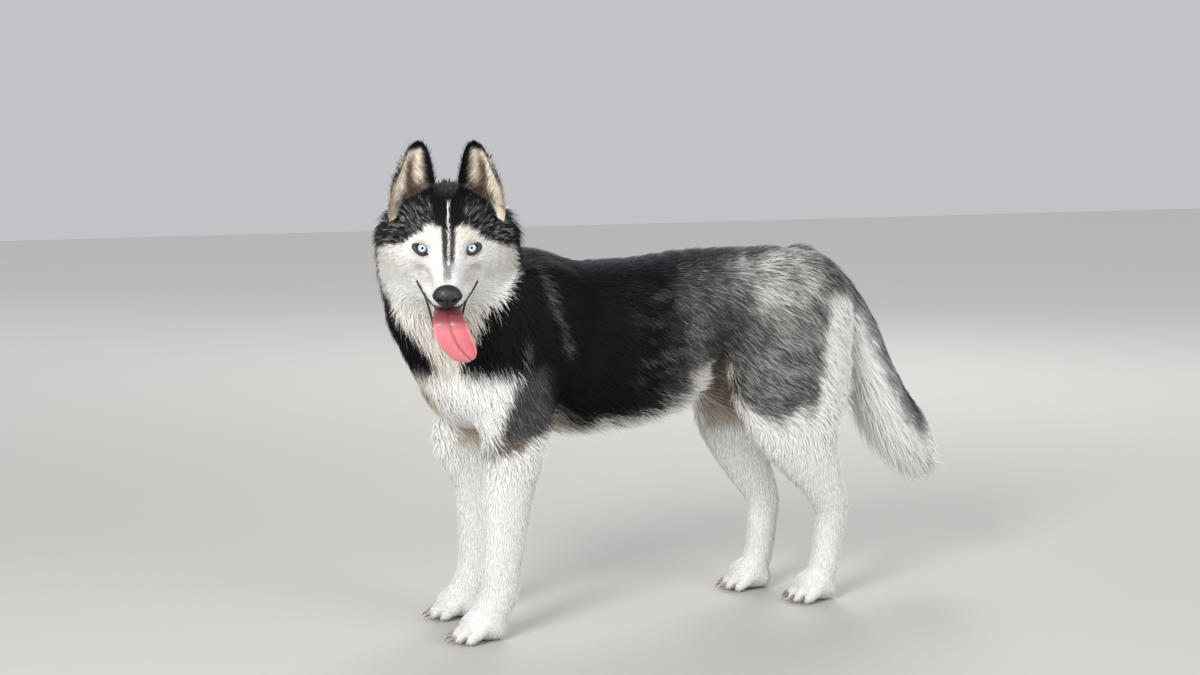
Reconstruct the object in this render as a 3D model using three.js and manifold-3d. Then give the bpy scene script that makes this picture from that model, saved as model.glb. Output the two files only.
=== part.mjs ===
// A life-size Siberian husky, standing still, with its head turned to its left and its tongue out.
// Millimetres, +Z up. The dog faces -Y, its left side is +X, and its feet stand on Z = 0.
// The flesh is one smooth field of rounded cones, meshed and parted with thin flat cuts.
// Ears, eyes, nose, tongue, claws and the locks of the long coat are lofted and set on it.
import * as THREE from "three";
import { mergeVertices } from "three/addons/utils/BufferGeometryUtils.js";
import Module from "manifold-3d";

const wasm = await Module();
wasm.setup();

// Driving dimensions of the standing dog, coat included.
const WITHERS = 573; // height at the withers
const BRISKET = 306; // height of the lowest line of the chest
const FORE_PAW = { left: [72, -276], right: [-73, -261] }; // middle of each paw on the floor, X and Y
const HIND_PAW = { left: [57, 298], right: [-56, 239] };
const HOCK = 150; // height of the point of the hock
const ELBOW = 300; // height of the elbow
const GAP = 0.3; // space kept between pieces that touch
const EYE_SPACING = 70; // from the middle of one eyeball to the other
const EYE_RADIUS = 11.5;
const HEAD_AT = [108, -332, 588]; // the point midway between the eyeballs
const HEAD_TURN = 70.5; // degrees that the head is turned to its left
const HEAD_DROP = 17.5; // degrees that the muzzle points down
const MOUTH_CORNER = { y: -6, z: -49 }; // in the head's own frame
const MOUTH_OPEN = { upper: 11, lower: 27 }; // degrees below level of the two sides of the mouth
const CENTRE_SHIFT = [-24.543, -88.254, 0]; // brings the middle of the box under the origin

const { abs, cos, sin, min, max, sqrt, PI } = Math;
const radians = (degrees) => (degrees * PI) / 180;
const mix = (a, b, t) => a + (b - a) * t;

// Field

// A station of a limb: its middle, half its width across the dog and half its depth.
const station = (x, y, z, width, depth) => ({ at: [x, y, z], width, depth });

// The stations with rounder ones between them, on a Catmull-Rom curve.
function rounded(stations, steps = 3) {
  const rows = stations.map((s) => [...s.at, s.width, s.depth]);
  const out = [];
  for (let i = 0; i < rows.length - 1; i++) {
    const [a, b, c, d] = [rows[max(i - 1, 0)], rows[i], rows[i + 1], rows[min(i + 2, rows.length - 1)]];
    for (let j = 0; j < steps; j++) {
      const t = j / steps;
      out.push(
        b.map((_, n) => {
          const bend = 2 * a[n] - 5 * b[n] + 4 * c[n] - d[n];
          const twist = 3 * (b[n] - c[n]) + d[n] - a[n];
          return b[n] + 0.5 * t * (c[n] - a[n] + t * (bend + t * twist));
        }),
      );
    }
  }
  out.push(rows.at(-1));
  return out;
}

// A limb of the field: stations, and how softly it blends into what comes before it.
const limb = (blend, stations, steps) => ({ blend, rows: rounded(stations, steps) });

// Distance from a point to a limb: to the ellipse across the nearest point of its line.
function limbDistance(p, rows) {
  let best = Infinity;
  for (let i = 0; i < rows.length - 1; i++) {
    const a = rows[i];
    const b = rows[i + 1];
    const along = [b[0] - a[0], b[1] - a[1], b[2] - a[2]];
    const from = [p[0] - a[0], p[1] - a[1], p[2] - a[2]];
    const length2 = along[0] ** 2 + along[1] ** 2 + along[2] ** 2 || 1;
    const dot = from[0] * along[0] + from[1] * along[1] + from[2] * along[2];
    const t = min(max(dot / length2, 0), 1);
    const side = from[0] - along[0] * t;
    const rest2 = (from[1] - along[1] * t) ** 2 + (from[2] - along[2] * t) ** 2;
    const far = sqrt(side * side + rest2);
    const scaled = sqrt((side / mix(a[3], b[3], t)) ** 2 + rest2 / mix(a[4], b[4], t) ** 2);
    best = min(best, far - far / max(scaled, 1e-6));
  }
  return best;
}

// The smaller of two distances, rounded over where they are within k of each other.
function join(a, b, k) {
  const h = max(k - abs(a - b), 0) / k;
  return min(a, b) - (h * h * k) / 4;
}

const carve = (a, b, k) => -join(-a, b, k); // a with b taken out of it

// Flesh of the body. Every limb is listed from its root to its end.
const torso = limb(1, [
  station(0, -259, 384, 88, 74),
  station(0, -190, WITHERS - 133, 97, 124),
  station(0, -95, (WITHERS - 12 + BRISKET) / 2, 103, 125),
  station(0, 10, 441, 98, 119),
  station(0, 110, 474, 85, 95),
  station(0, 215, 480, 90, 90),
  station(0, 292, 478, 78, 82),
]);
const neck = limb(60, [
  station(0, -205, 462, 90, 98),
  station(-3, -280, 488, 96, 98),
  station(2, -296, 545, 88, 95),
  station(10, -300, 580, 76, 80),
]);
const shoulder = (side, paw, forward) =>
  limb(38, [
    station(side * 62, -170, 485, 34, 66),
    station(side * 72, -224 - forward * 0.3, 400, 36, 68),
    station(side * 76, -220 - forward * 0.6, 330, 34, 60),
    station(side * 76, -219 - forward, 275, 31, 49),
    station(paw[0], paw[1] + 50 - forward * 0.45, 215, 28, 41),
    station(paw[0], paw[1] + 40, 120, 26, 34),
    station(paw[0], paw[1] + 34, 70, 26, 32),
    station(paw[0], paw[1] + 18, 36, 27, 30),
  ]);
const haunch = (side, paw, forward) =>
  limb(40, [
    station(side * 48, 268, 470, 46, 92),
    station(side * 58, 252 - forward * 0.2, 390, 44, 112),
    station(side * 66, 258 - forward * 0.5, 315, 38, 86),
    station(side * 66, 278 - forward * 0.8, 255, 33, 60),
    station(side * 64, paw[1] + 10, 200, 27, 41),
    station(paw[0] + side * 4, paw[1] + 33, HOCK, 23, 31),
    station(paw[0], paw[1] + 30, 100, 22, 27),
    station(paw[0], paw[1] + 22, 52, 23, 27),
    station(paw[0], paw[1] + 8, 30, 26, 26),
  ]);
const tail = limb(22, [
  station(0, 300, 532, 32, 36),
  station(0, 356, 496, 31, 36),
  station(0, 403, 436, 31, 36),
  station(0, 436, 368, 31, 37),
  station(0, 474, 304, 29, 37),
  station(0, 520, 252, 23, 30),
  station(0, 548, 222, 11, 14),
]);

// A paw: its back and four toes, the middle two longest, on flat soles.
const TOES = [-1.5, -0.5, 0.5, 1.5];
const SOLE = 2.5; // how far each paw reaches under the floor line before it is cut flat there
function paw([x, y], turn) {
  const c = cos(radians(turn));
  const s = sin(radians(turn));
  const place = (across, back, z, w, d) =>
    station(x + across * c - back * s, y + across * s + back * c, z - SOLE, w, d);
  const toes = TOES.map((n) => {
    const reach = abs(n) < 1 ? 0 : 10;
    return limb(
      5,
      [
        place(n * 13, 2, 26, 11, 13),
        place(n * 15.5, -18 + reach, 20, 11, 13),
        place(n * 16, -31 + reach, 12, 10, 11),
      ],
      2,
    );
  });
  return [limb(14, [place(0, 26, 20, 25, 20), place(0, -6, 26, 28, 23)], 1), ...toes];
}

// The head in its own frame: the eyes' middle is the origin, +x its left, -y forward, +z up.
const skull = [
  limb(1, [station(0, 62, 14, 62, 60), station(0, 34, 22, 58, 56), station(0, 14, 12, 50, 38)]),
  limb(26, [
    station(0, 8, -14, 40, 30),
    station(0, -30, -24, 27, 24),
    station(0, -60, -32, 22, 20),
    station(0, -70, -36, 20, 18),
  ]),
  limb(16, [station(-15, -4, 14, 17, 12), station(-19, 14, 32, 22, 18)], 1),
  limb(16, [station(15, -4, 14, 17, 12), station(19, 14, 32, 22, 18)], 1),
  limb(26, [station(-40, 14, -18, 22, 24), station(-56, 44, -22, 30, 40)]),
  limb(26, [station(40, 14, -18, 22, 24), station(56, 44, -22, 30, 40)]),
  limb(30, [
    station(-54, 72, 18, 30, 30),
    station(-67, 84, -16, 38, 40),
    station(-52, 84, -74, 38, 42),
    station(-28, 88, -120, 38, 42),
  ]),
  limb(30, [
    station(54, 72, 18, 30, 30),
    station(67, 84, -16, 38, 40),
    station(52, 84, -74, 38, 42),
    station(28, 88, -120, 38, 42),
  ]),
  limb(12, [station(-32, 4, -44, 16, 17), station(-23, -38, -47, 14, 15), station(-12, -67, -52, 13, 13)]),
  limb(12, [station(32, 4, -44, 16, 17), station(23, -38, -47, 14, 15), station(12, -67, -52, 13, 13)]),
];
const chin = [
  limb(22, [
    station(0, 50, -62, 46, 34),
    station(0, 14, -66, 40, 24),
    station(0, -20, -78, 28, 17),
    station(0, -50, -92, 19, 13),
    station(0, -66, -98, 15, 11),
  ]),
];

const headMatrix = new THREE.Matrix4()
  .makeTranslation(...HEAD_AT)
  .multiply(new THREE.Matrix4().makeRotationZ(radians(HEAD_TURN)))
  .multiply(new THREE.Matrix4().makeRotationX(radians(HEAD_DROP)));
const headInverse = headMatrix.clone().invert();

function apply(matrix, p) {
  const v = new THREE.Vector3(...p).applyMatrix4(matrix);
  return [v.x, v.y, v.z];
}
function toHead(p) {
  const e = headInverse.elements;
  return [
    e[0] * p[0] + e[4] * p[1] + e[8] * p[2] + e[12],
    e[1] * p[0] + e[5] * p[1] + e[9] * p[2] + e[13],
    e[2] * p[0] + e[6] * p[1] + e[10] * p[2] + e[14],
  ];
}

// The open mouth: between two planes that meet at its corners, in front of them.
function mouthDistance([, y, z]) {
  const upper = radians(MOUTH_OPEN.upper);
  const lower = radians(MOUTH_OPEN.lower);
  const dy = y - MOUTH_CORNER.y;
  const dz = z - MOUTH_CORNER.z;
  const under = dz * cos(upper) - dy * sin(upper);
  const over = -(dz * cos(lower) - dy * sin(lower));
  return max(under, over, dy + 2);
}

function headDistance(p) {
  let f = limbDistance(p, skull[0].rows);
  for (const part of [...skull.slice(1), ...chin]) f = join(f, limbDistance(p, part.rows), part.blend);
  for (const side of [-1, 1]) {
    const across = p[0] - side * (EYE_SPACING / 2 + 3);
    const eye = sqrt(across ** 2 + (p[1] + 19) ** 2 + ((p[2] - 1) / 0.85) ** 2) - 14;
    f = carve(f, eye, 8);
  }
  return carve(f, mouthDistance(p), 5);
}

const legs = {
  foreleg_left: [shoulder(1, FORE_PAW.left, 0), ...paw(FORE_PAW.left, 2)],
  foreleg_right: [shoulder(-1, FORE_PAW.right, 26), ...paw(FORE_PAW.right, -6)],
  hindleg_left: [haunch(1, HIND_PAW.left, 0), ...paw(HIND_PAW.left, 4)],
  hindleg_right: [haunch(-1, HIND_PAW.right, 58), ...paw(HIND_PAW.right, -4)],
};
const trunk = [torso, neck, ...Object.values(legs).flat()];

// A limb is skipped where it is too far to change the answer.
const REACH = 70;
for (const part of trunk) {
  const grown = part.rows.map((r) => max(r[3], r[4]) + REACH);
  part.low = [0, 1, 2].map((n) => min(...part.rows.map((r, i) => r[n] - grown[i])));
  part.high = [0, 1, 2].map((n) => max(...part.rows.map((r, i) => r[n] + grown[i])));
}
const near = (p, part) => [0, 1, 2].every((n) => p[n] > part.low[n] && p[n] < part.high[n]);

function bodyDistance(p) {
  let f = REACH;
  for (const part of trunk) if (near(p, part)) f = join(f, limbDistance(p, part.rows), part.blend);
  const h = toHead(p);
  if (Math.hypot(h[0], h[1] - 20, h[2] + 20) < 190) f = join(f, headDistance(h), 34);
  return f;
}

// The direction in which a field grows fastest.
function gradient(field, p, e = 1) {
  const g = [0, 1, 2].map((n) => {
    const a = [...p];
    const b = [...p];
    a[n] += e;
    b[n] -= e;
    return field(a) - field(b);
  });
  const size = Math.hypot(...g) || 1;
  return g.map((v) => v / size);
}

// Surface nets: one vertex in each cell that the surface crosses, pulled onto the surface.
function surfaceNets(field, low, high, cell, tries = 8) {
  const n = [0, 1, 2].map((i) => Math.ceil((high[i] - low[i]) / cell[i]) + 1);
  const values = new Float32Array(n[0] * n[1] * n[2]);
  const at = (i, j, k) => (k * n[1] + j) * n[0] + i;
  for (let k = 0; k < n[2]; k++)
    for (let j = 0; j < n[1]; j++)
      for (let i = 0; i < n[0]; i++)
        values[at(i, j, k)] = field([low[0] + i * cell[0], low[1] + j * cell[1], low[2] + k * cell[2]]);
  for (let k = 0; k < n[2]; k++)
    for (let j = 0; j < n[1]; j++)
      for (let i = 0; i < n[0]; i++) {
        const edge = [i, j, k].some((v, m) => v === 0 || v === n[m] - 1);
        if (edge) values[at(i, j, k)] = max(values[at(i, j, k)], 1);
      }
  const vertexOf = new Map();
  const vertices = [];
  for (let k = 0; k < n[2] - 1; k++)
    for (let j = 0; j < n[1] - 1; j++)
      for (let i = 0; i < n[0] - 1; i++) {
        const sum = [0, 0, 0];
        let count = 0;
        for (let corner = 0; corner < 8; corner++)
          for (let axis = 0; axis < 3; axis++) {
            if (corner & (1 << axis)) continue;
            const c = [corner & 1, (corner >> 1) & 1, (corner >> 2) & 1];
            const d = [...c];
            d[axis] = 1;
            const a = values[at(i + c[0], j + c[1], k + c[2])];
            const b = values[at(i + d[0], j + d[1], k + d[2])];
            if (a < 0 === b < 0) continue;
            const t = a / (a - b);
            for (let m = 0; m < 3; m++) sum[m] += mix(c[m], d[m], t);
            count++;
          }
        if (!count) continue;
        let p = [i, j, k].map((v, m) => low[m] + (v + sum[m] / count) * cell[m]);
        const g = gradient(field, p);
        const f = min(max(field(p), -0.35 * min(...cell)), 0.35 * min(...cell));
        p = p.map((v, m) => v - g[m] * f);
        vertexOf.set(at(i, j, k), vertices.length / 3);
        vertices.push(...p);
      }
  const faces = [];
  for (let k = 0; k < n[2] - 1; k++)
    for (let j = 0; j < n[1] - 1; j++)
      for (let i = 0; i < n[0] - 1; i++)
        for (let axis = 0; axis < 3; axis++) {
          const d = [i, j, k];
          d[axis]++;
          const a = values[at(i, j, k)];
          const b = values[at(...d)];
          if (a < 0 === b < 0) continue;
          const u = (axis + 1) % 3;
          const v = (axis + 2) % 3;
          const quad = [[0, 0], [-1, 0], [-1, -1], [0, -1]].map(([du, dv]) => {
            const c = [i, j, k];
            c[u] += du;
            c[v] += dv;
            return vertexOf.get(at(...c));
          });
          if (a >= 0) quad.reverse();
          const gapOf = (m, o) => Math.hypot(...[0, 1, 2].map((q) => vertices[m * 3 + q] - vertices[o * 3 + q]));
          if (gapOf(quad[0], quad[2]) < gapOf(quad[1], quad[3]))
            faces.push(quad[0], quad[1], quad[2], quad[0], quad[2], quad[3]);
          else faces.push(quad[0], quad[1], quad[3], quad[1], quad[2], quad[3]);
        }
  if (tries > 0 && pinched(faces)) {
    const moved = low.map((v, m) => v - cell[m] * 0.23);
    return surfaceNets(field, moved, high, cell, tries - 1);
  }
  return solid(vertices, faces);
}

// Whether two sheets of a surface touch along an edge, which then has four faces.
function pinched(faces) {
  const seen = new Set();
  for (let i = 0; i < faces.length; i++) {
    const edge = faces[i] * 1e6 + faces[i % 3 === 2 ? i - 2 : i + 1];
    if (seen.has(edge)) return true;
    seen.add(edge);
  }
  return false;
}

function solid(vertices, faces) {
  return new wasm.Manifold(
    new wasm.Mesh({ numProp: 3, vertProperties: new Float32Array(vertices), triVerts: new Uint32Array(faces) }),
  );
}

// The same solid with every vertex moved outwards.
function grown(piece, by) {
  const made = piece.getMesh();
  const points = Array.from(made.vertProperties);
  const faces = Array.from(made.triVerts);
  const normals = new Float64Array(points.length);
  for (let i = 0; i < faces.length; i += 3) {
    const [a, b, c] = [0, 1, 2].map((n) => new THREE.Vector3().fromArray(points, faces[i + n] * 3));
    const n = b.clone().sub(a).cross(c.clone().sub(a)).normalize();
    const turns = [b.clone().sub(a).angleTo(c.clone().sub(a)), a.clone().sub(b).angleTo(c.clone().sub(b))];
    turns.push(PI - turns[0] - turns[1]);
    for (let m = 0; m < 3; m++)
      for (const [q, v] of n.toArray().entries()) normals[faces[i + m] * 3 + q] += v * turns[m];
  }
  for (let i = 0; i < points.length; i += 3) {
    const size = Math.hypot(normals[i], normals[i + 1], normals[i + 2]) || 1;
    for (let q = 0; q < 3; q++) points[i + q] += (normals[i + q] / size) * by;
  }
  return solid(points, faces);
}

// Cuts

// A flat cut: a point on it and the direction in which the kept side lies.
const cut = (at, towards) => {
  const size = Math.hypot(...towards);
  const normal = towards.map((v) => v / size);
  return { normal, offset: normal[0] * at[0] + normal[1] * at[1] + normal[2] * at[2] };
};
const FLOOR = { normal: [0, 0, 1], offset: -GAP / 2 };
const kept = (piece, { normal, offset }) => piece.trimByPlane(normal, offset + GAP / 2);
const other = ({ normal, offset }) => ({ normal: normal.map((v) => -v), offset: -offset });

const headward = apply(headMatrix, [0, 62, -14]);
const CUT = {
  head: cut(headward, [0.80, -0.5, 0.34]),
  neck: cut([0, -212, 480], [0.1, -0.72, 0.7]),
  tail: cut([0, 338, 515], [0, 0.82, -0.45]),
  wrist: cut([0, -250, 64], [0, -0.25, -1]),
  hockPaw: cut([0, 280, 58], [0, -0.2, -1]),
};

// The box of space that a leg takes from the trunk.
function legSpace(side, { front, back, top }, by = 0) {
  const outer = [4 + by, 170 - by];
  const rings = [[-60 + by, 1], [top - by, 1]].map(([z]) => [
    [side * outer[0], front + by, z],
    [side * outer[1], front + by, z],
    [side * outer[1], back - by, z],
    [side * outer[0], back - by, z],
  ]);
  return loft(rings);
}
const FORE_SPACE = { front: -330, back: -130, top: ELBOW };
const HIND_SPACE = { front: 60, back: 420, top: 322 };

const largest = (piece) => piece.decompose().sort((a, b) => b.volume() - a.volume())[0];
const cell3 = (cell) => [].concat(cell, cell, cell).slice(0, 3);
const flesh = (low, high, cell) => surfaceNets(bodyDistance, low, high, cell3(cell));

// Small lofted forms

// A closed tube through rings of the same number of points, first ring to last.
function loft(rings) {
  const count = rings[0].length;
  const middle = (ring) => [0, 1, 2].map((n) => ring.reduce((sum, p) => sum + p[n], 0) / count);
  const points = [...rings.flat(), middle(rings[0]), middle(rings.at(-1))].flat();
  const faces = [];
  const [first, last] = [rings.length * count, rings.length * count + 1];
  for (let j = 0; j < count; j++) {
    const next = (j + 1) % count;
    faces.push(first, next, j);
    const end = (rings.length - 1) * count;
    faces.push(last, end + j, end + next);
    for (let i = 0; i < rings.length - 1; i++) {
      const [a, b, c, d] = [i * count + j, i * count + next, (i + 1) * count + j, (i + 1) * count + next];
      faces.push(a, b, c, b, d, c);
    }
  }
  const made = solid(points, faces);
  return made.volume() > 0 ? made : solid(points, faces.reverse());
}
const inHead = (piece) => {
  const made = piece.getMesh();
  const points = [];
  for (let i = 0; i < made.vertProperties.length; i += 3)
    points.push(...apply(headMatrix, Array.from(made.vertProperties.subarray(i, i + 3))));
  return solid(points, Array.from(made.triVerts));
};
const ball = (centre, radius, across, around) => {
  const rings = [];
  for (let i = 0; i < across; i++) {
    const a = (PI * (i + 0.5)) / across;
    rings.push(
      Array.from({ length: around }, (_, j) => {
        const b = (2 * PI * j) / around;
        return plus(centre, [sin(a) * cos(b), -cos(a), sin(a) * sin(b)], radius);
      }),
    );
  }
  return loft(rings);
};

// An eyelid rim: a thin tube around the almond opening, leaning out with the eyeball.
const EYE_OPENING = { half: 11, high: 6.2, tube: 2.6 };
function lid(side, by = 0) {
  const rings = [];
  const count = 18;
  const centre = [side * (EYE_SPACING / 2), 0, 0];
  const radius = EYE_OPENING.tube + by;
  const line = (j) => {
    const a = (2 * PI * j) / count;
    const x = EYE_OPENING.half * cos(a);
    const z = EYE_OPENING.high * sin(a) * (1 - 0.22 * cos(a) ** 2) + 2.4 * cos(a);
    const y = -sqrt(max((EYE_RADIUS + 0.8) ** 2 - x * x - z * z, 6));
    return new THREE.Vector3(centre[0] + side * x, centre[1] + y + 0.35 * x, centre[2] + z);
  };
  for (let j = 0; j < count; j++) {
    const along = line(j + 1).sub(line(j - 1)).normalize();
    const out = new THREE.Vector3(0, -1, 0).cross(along).normalize();
    const front = along.clone().cross(out).normalize();
    rings.push(
      Array.from({ length: 6 }, (_, k) => {
        const b = (2 * PI * k) / 6;
        return line(j).addScaledVector(out, cos(b) * radius).addScaledVector(front, sin(b) * radius).toArray();
      }),
    );
  }
  const points = rings.flat(2);
  const faces = [];
  for (let j = 0; j < count; j++)
    for (let k = 0; k < 6; k++) {
      const [a, b] = [j * 6 + k, j * 6 + ((k + 1) % 6)];
      const [c, d] = [((j + 1) % count) * 6 + k, ((j + 1) % count) * 6 + ((k + 1) % 6)];
      faces.push(a, b, c, b, d, c);
    }
  const made = solid(points, faces);
  return made.volume() > 0 ? made : solid(points, faces.reverse());
}

// An upright ear: a cup with a thick base, open to the front and side, drawn in to a blunt tip.
const EAR = { base: 32, height: 92, cup: 17, wall: 6 };
function ear(side) {
  const rings = [];
  const levels = [-0.16, 0, 0.16, 0.34, 0.52, 0.7, 0.85, 0.95, 1];
  for (const u of levels) {
    const t = max(u, 0);
    const half = EAR.base * (1 - t ** 1.7) ** 0.8 * (u < 0 ? 0.9 : 1) + 1.5;
    const cup = EAR.cup * (1 - t) ** 0.8 + 1;
    const wall = mix(EAR.wall, 2.6, t) * min(1, half / 12 + 0.3);
    const hollow = u < 0.06 ? 0 : min(1, (u - 0.0) * 5);
    const ring = [];
    for (let j = 0; j <= 6; j++) {
      const v = -1 + j / 3;
      ring.push([half * v, cup * (1 - v * v) + wall * (1 - v ** 4) * 0.6, u * EAR.height]);
    }
    for (let j = 5; j >= 1; j--) {
      const v = -1 + j / 3;
      const inward = cup * (1 - v * v) * mix(-0.35, 1, hollow) - wall * (1 - v ** 4) * 0.4;
      ring.push([half * v, inward, u * EAR.height]);
    }
    rings.push(
      ring.map(([x, y, z]) => {
        const lean = side * (z * -0.06);
        const turned = radians(side * 14);
        const c = cos(turned);
        const s = sin(turned);
        return [side * 41 + x * c - y * s + lean, 40 + x * s + y * c + z * 0.06, 46 + z];
      }),
    );
  }
  return inHead(loft(rings));
}

// The tongue, hanging over the lower teeth and curling to the dog's left, grooved along its middle.
const TONGUE = [
  [0, -20, -70, 16, 5],
  [0, -46, -76, 20, 5.5],
  [0, -70, -76, 21.5, 5.5],
  [2, -88, -80, 23, 5.5],
  [6, -95, -92, 24, 5],
  [13, -95, -106, 23, 4.5],
  [21, -93, -120, 21, 4],
  [28, -91, -129, 15, 3.6],
  [33, -89, -135, 7, 2.6],
];
function tongue() {
  const rings = TONGUE.map(([x, y, z, half, thick], i) => {
    const before = TONGUE[max(i - 1, 0)];
    const after = TONGUE[min(i + 1, TONGUE.length - 1)];
    const along = new THREE.Vector3(...plus(after, before, -1).slice(0, 3)).normalize();
    const across = new THREE.Vector3(1, 0, 0).addScaledVector(along, -along.x).normalize();
    const up = across.clone().cross(along).normalize();
    return Array.from({ length: 12 }, (_, j) => {
      const a = (2 * PI * j) / 12;
      const groove = sin(a) > 0 && abs(cos(a)) < 0.2 ? 0.45 : 1;
      const lift = -0.5 * thick * cos(2 * a) * 0.4;
      return new THREE.Vector3(x, y, z)
        .addScaledVector(across, half * cos(a))
        .addScaledVector(up, -(thick * sin(a) * groove + lift))
        .toArray();
    });
  });
  return inHead(loft(rings));
}

// The nose: a rounded leather pad with two comma-shaped nostrils.
const NOSE = [0, -84, -37];
function noseDistance(p) {
  const [x, y, z] = [p[0] - NOSE[0], p[1] - NOSE[1], p[2] - NOSE[2]];
  const pad = (sqrt((x / 19.5) ** 2 + (y / 14) ** 2 + (z / 17) ** 2) - 1) * 14;
  const holes = [-1, 1].map((s) => sqrt((x - s * 9) ** 2 + (y + 13.5) ** 2 + (z + 2.5) ** 2) - 4.2);
  const slots = [-1, 1].map((s) => sqrt((x - s * 15) ** 2 + ((y + 9.5) / 1.3) ** 2 + (z + 5) ** 2) - 3);
  return carve(carve(pad, min(...holes), 2), min(...slots), 2);
}

// The long coat

// Numbers between -1 and 1 that are the same in each run.
let state = 20231;
function chance() {
  state = (state * 48271) % 2147483647;
  return (state / 2147483647) * 2 - 1;
}
const plus = (a, b, k = 1) => a.map((v, n) => v + b[n] * k);
const dotted = (a, b) => a[0] * b[0] + a[1] * b[1] + a[2] * b[2];
const crossed = (a, b) => [a[1] * b[2] - a[2] * b[1], a[2] * b[0] - a[0] * b[2], a[0] * b[1] - a[1] * b[0]];
const unit = (a) => a.map((v) => v / (Math.hypot(...a) || 1));

// Where a ray from inside a field leaves it.
function surfaceFrom(field, inside, towards) {
  let [near, far] = [0, 220];
  for (let i = 0; i < 24; i++) {
    const middle = (near + far) / 2;
    if (field(plus(inside, towards, middle)) < 0) near = middle;
    else far = middle;
  }
  return plus(inside, towards, near);
}

// A lock: a flat bent blade with a sunken root. Its rings are four-cornered, and it ends in a point.
const SINK = 8;
const BLADE = [
  [0, 0.7, 1],
  [0.36, 1, 0.9],
  [0.72, 0.66, 0.6],
]; // share of the length, of the half width and of the half thickness
function lock({ root, out, lie, length, half, thick, rise, curl }, by = 0) {
  const side = unit(crossed(lie, out));
  const path = (t) => {
    const height = -SINK + (SINK + rise) * min(1, t * 1.5) - rise * 0.5 * t * t;
    return plus(plus(plus(root, lie, length * t), out, height), side, curl * t * t);
  };
  const rings = BLADE.map(([t, w, h]) => {
    const middle = path(t);
    const [a, b] = [half * w + by * 1.6, thick * h + by];
    return [plus(middle, side, a), plus(middle, out, b), plus(middle, side, -a), plus(middle, out, -b)];
  });
  const rootMiddle = rings[0][0].map((v, n) => (v + rings[0][2][n]) / 2);
  const points = [...rings.flat(), rootMiddle, plus(path(1), lie, by * 3)].flat();
  const [first, last] = [rings.length * 4, rings.length * 4 + 1];
  const faces = [];
  for (let j = 0; j < 4; j++) {
    const next = (j + 1) % 4;
    const end = (rings.length - 1) * 4;
    faces.push(first, next, j, last, end + j, end + next);
    for (let i = 0; i < rings.length - 1; i++) {
      const [a, b, c, d] = [i * 4 + j, i * 4 + next, (i + 1) * 4 + j, (i + 1) * 4 + next];
      faces.push(a, b, c, b, d, c);
    }
  }
  const made = solid(points, faces);
  return made.volume() > 0 ? made : solid(points, faces.reverse());
}

// A lock that grows where a ray leaves the flesh. Its lie follows the surface, and away is how far it stands off.
function rooted(field, inside, towards, flow, away, size) {
  const root = surfaceFrom(field, inside, unit(towards));
  const out = gradient(field, root, 3);
  const flat = unit(plus(flow, out, -dotted(flow, out)));
  const lie = unit(plus(flat, out, away));
  const lean = unit(plus(out, lie, -dotted(out, lie)));
  const vary = 1 + 0.14 * chance();
  return { root, out: lean, lie, thick: 5, rise: 5, curl: 6 * chance(), ...size, length: size.length * vary };
}

// The place on a limb's line at a share of its stations, and the line's direction there.
function along(rows, t) {
  const at = min(t * (rows.length - 1), rows.length - 1.001);
  const i = Math.floor(at);
  const place = rows[i].slice(0, 3).map((v, n) => mix(v, rows[i + 1][n], at - i));
  return [place, unit(plus(rows[i + 1].slice(0, 3), rows[i].slice(0, 3), -1))];
}

// Neck: rings of locks from behind the head to the withers and the chest.
function neckLocks() {
  const rows = [];
  for (const [ring, t] of [0.8, 0.52, 0.26].entries()) {
    const [inside, line] = along(neck.rows, t);
    const count = 9;
    for (let i = 0; i < count; i++) {
      const a = (2 * PI * (i + 0.5 * (ring % 2))) / count;
      const up = unit(crossed([1, 0, 0], line));
      const towards = plus([cos(a), 0, 0], up, sin(a));
      rows.push(rooted(bodyDistance, inside, towards, [0, 0.8, -0.62], 0.12, { length: 84, half: 27, rise: 9 }));
    }
  }
  return rows;
}

// Chest and belly: a bib of locks in front, and a fringe under the ribs.
function torsoLocks() {
  const rows = [];
  for (const [row, z] of [400, 352].entries())
    for (let i = 0; i < 5; i++) {
      const x = (i - 2 + 0.5 * (row % 2)) * 27;
      const size = { length: 62, half: 17 };
      rows.push(rooted(bodyDistance, [x * 0.6, -220, z + 20], [x * 0.01, -1, -0.1], [0, 0.1, -1], 0.12, size));
    }
  for (let i = 0; i < 9; i++) {
    const x = (i % 2 ? 1 : -1) * 22;
    const size = { length: 54, half: 20 };
    rows.push(rooted(bodyDistance, [x, -120 + i * 18, 400], [0, 0, -1], [0, 1, -0.1], 0.2, size));
  }
  return rows;
}

// Tail: short locks on top, long ones that hang below, and a brush at the end.
function tailLocks() {
  const rows = [];
  const field = (p) => limbDistance(p, tail.rows);
  for (let ring = 0; ring < 8; ring++) {
    const t = 0.16 + ring * 0.107;
    const [inside, line] = along(tail.rows, t);
    const up = unit(crossed([1, 0, 0], line));
    const count = ring < 7 ? 5 : 4;
    for (let i = 0; i < count; i++) {
      const a = (2 * PI * (i + 0.5 * (ring % 2))) / count;
      const below = max(0, -sin(a));
      const towards = plus([cos(a), 0, 0], up, sin(a));
      const size = { length: 62 + 36 * below, half: 20 };
      rows.push(rooted(field, inside, towards, line, 0.06 + 0.5 * below, size));
    }
  }
  return rows;
}

// Breeches: rows of locks down the back of each thigh.
function breechesLocks(side, paw) {
  const rows = [];
  for (const [row, z] of [300, 268, 236].entries())
    for (let i = 0; i < 3; i++) {
      const x = side * (66 + (i - 1 + 0.3 * (row % 2)) * 19);
      const size = { length: 52, half: 14, thick: 4 };
      const inside = [side * 66, paw * 0.3 + 175, z];
      rows.push(rooted(bodyDistance, inside, [(x - side * 66) * 0.03, 1, 0], [0, 0.16, -1], 0.12, size));
    }
  return rows;
}

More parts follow.
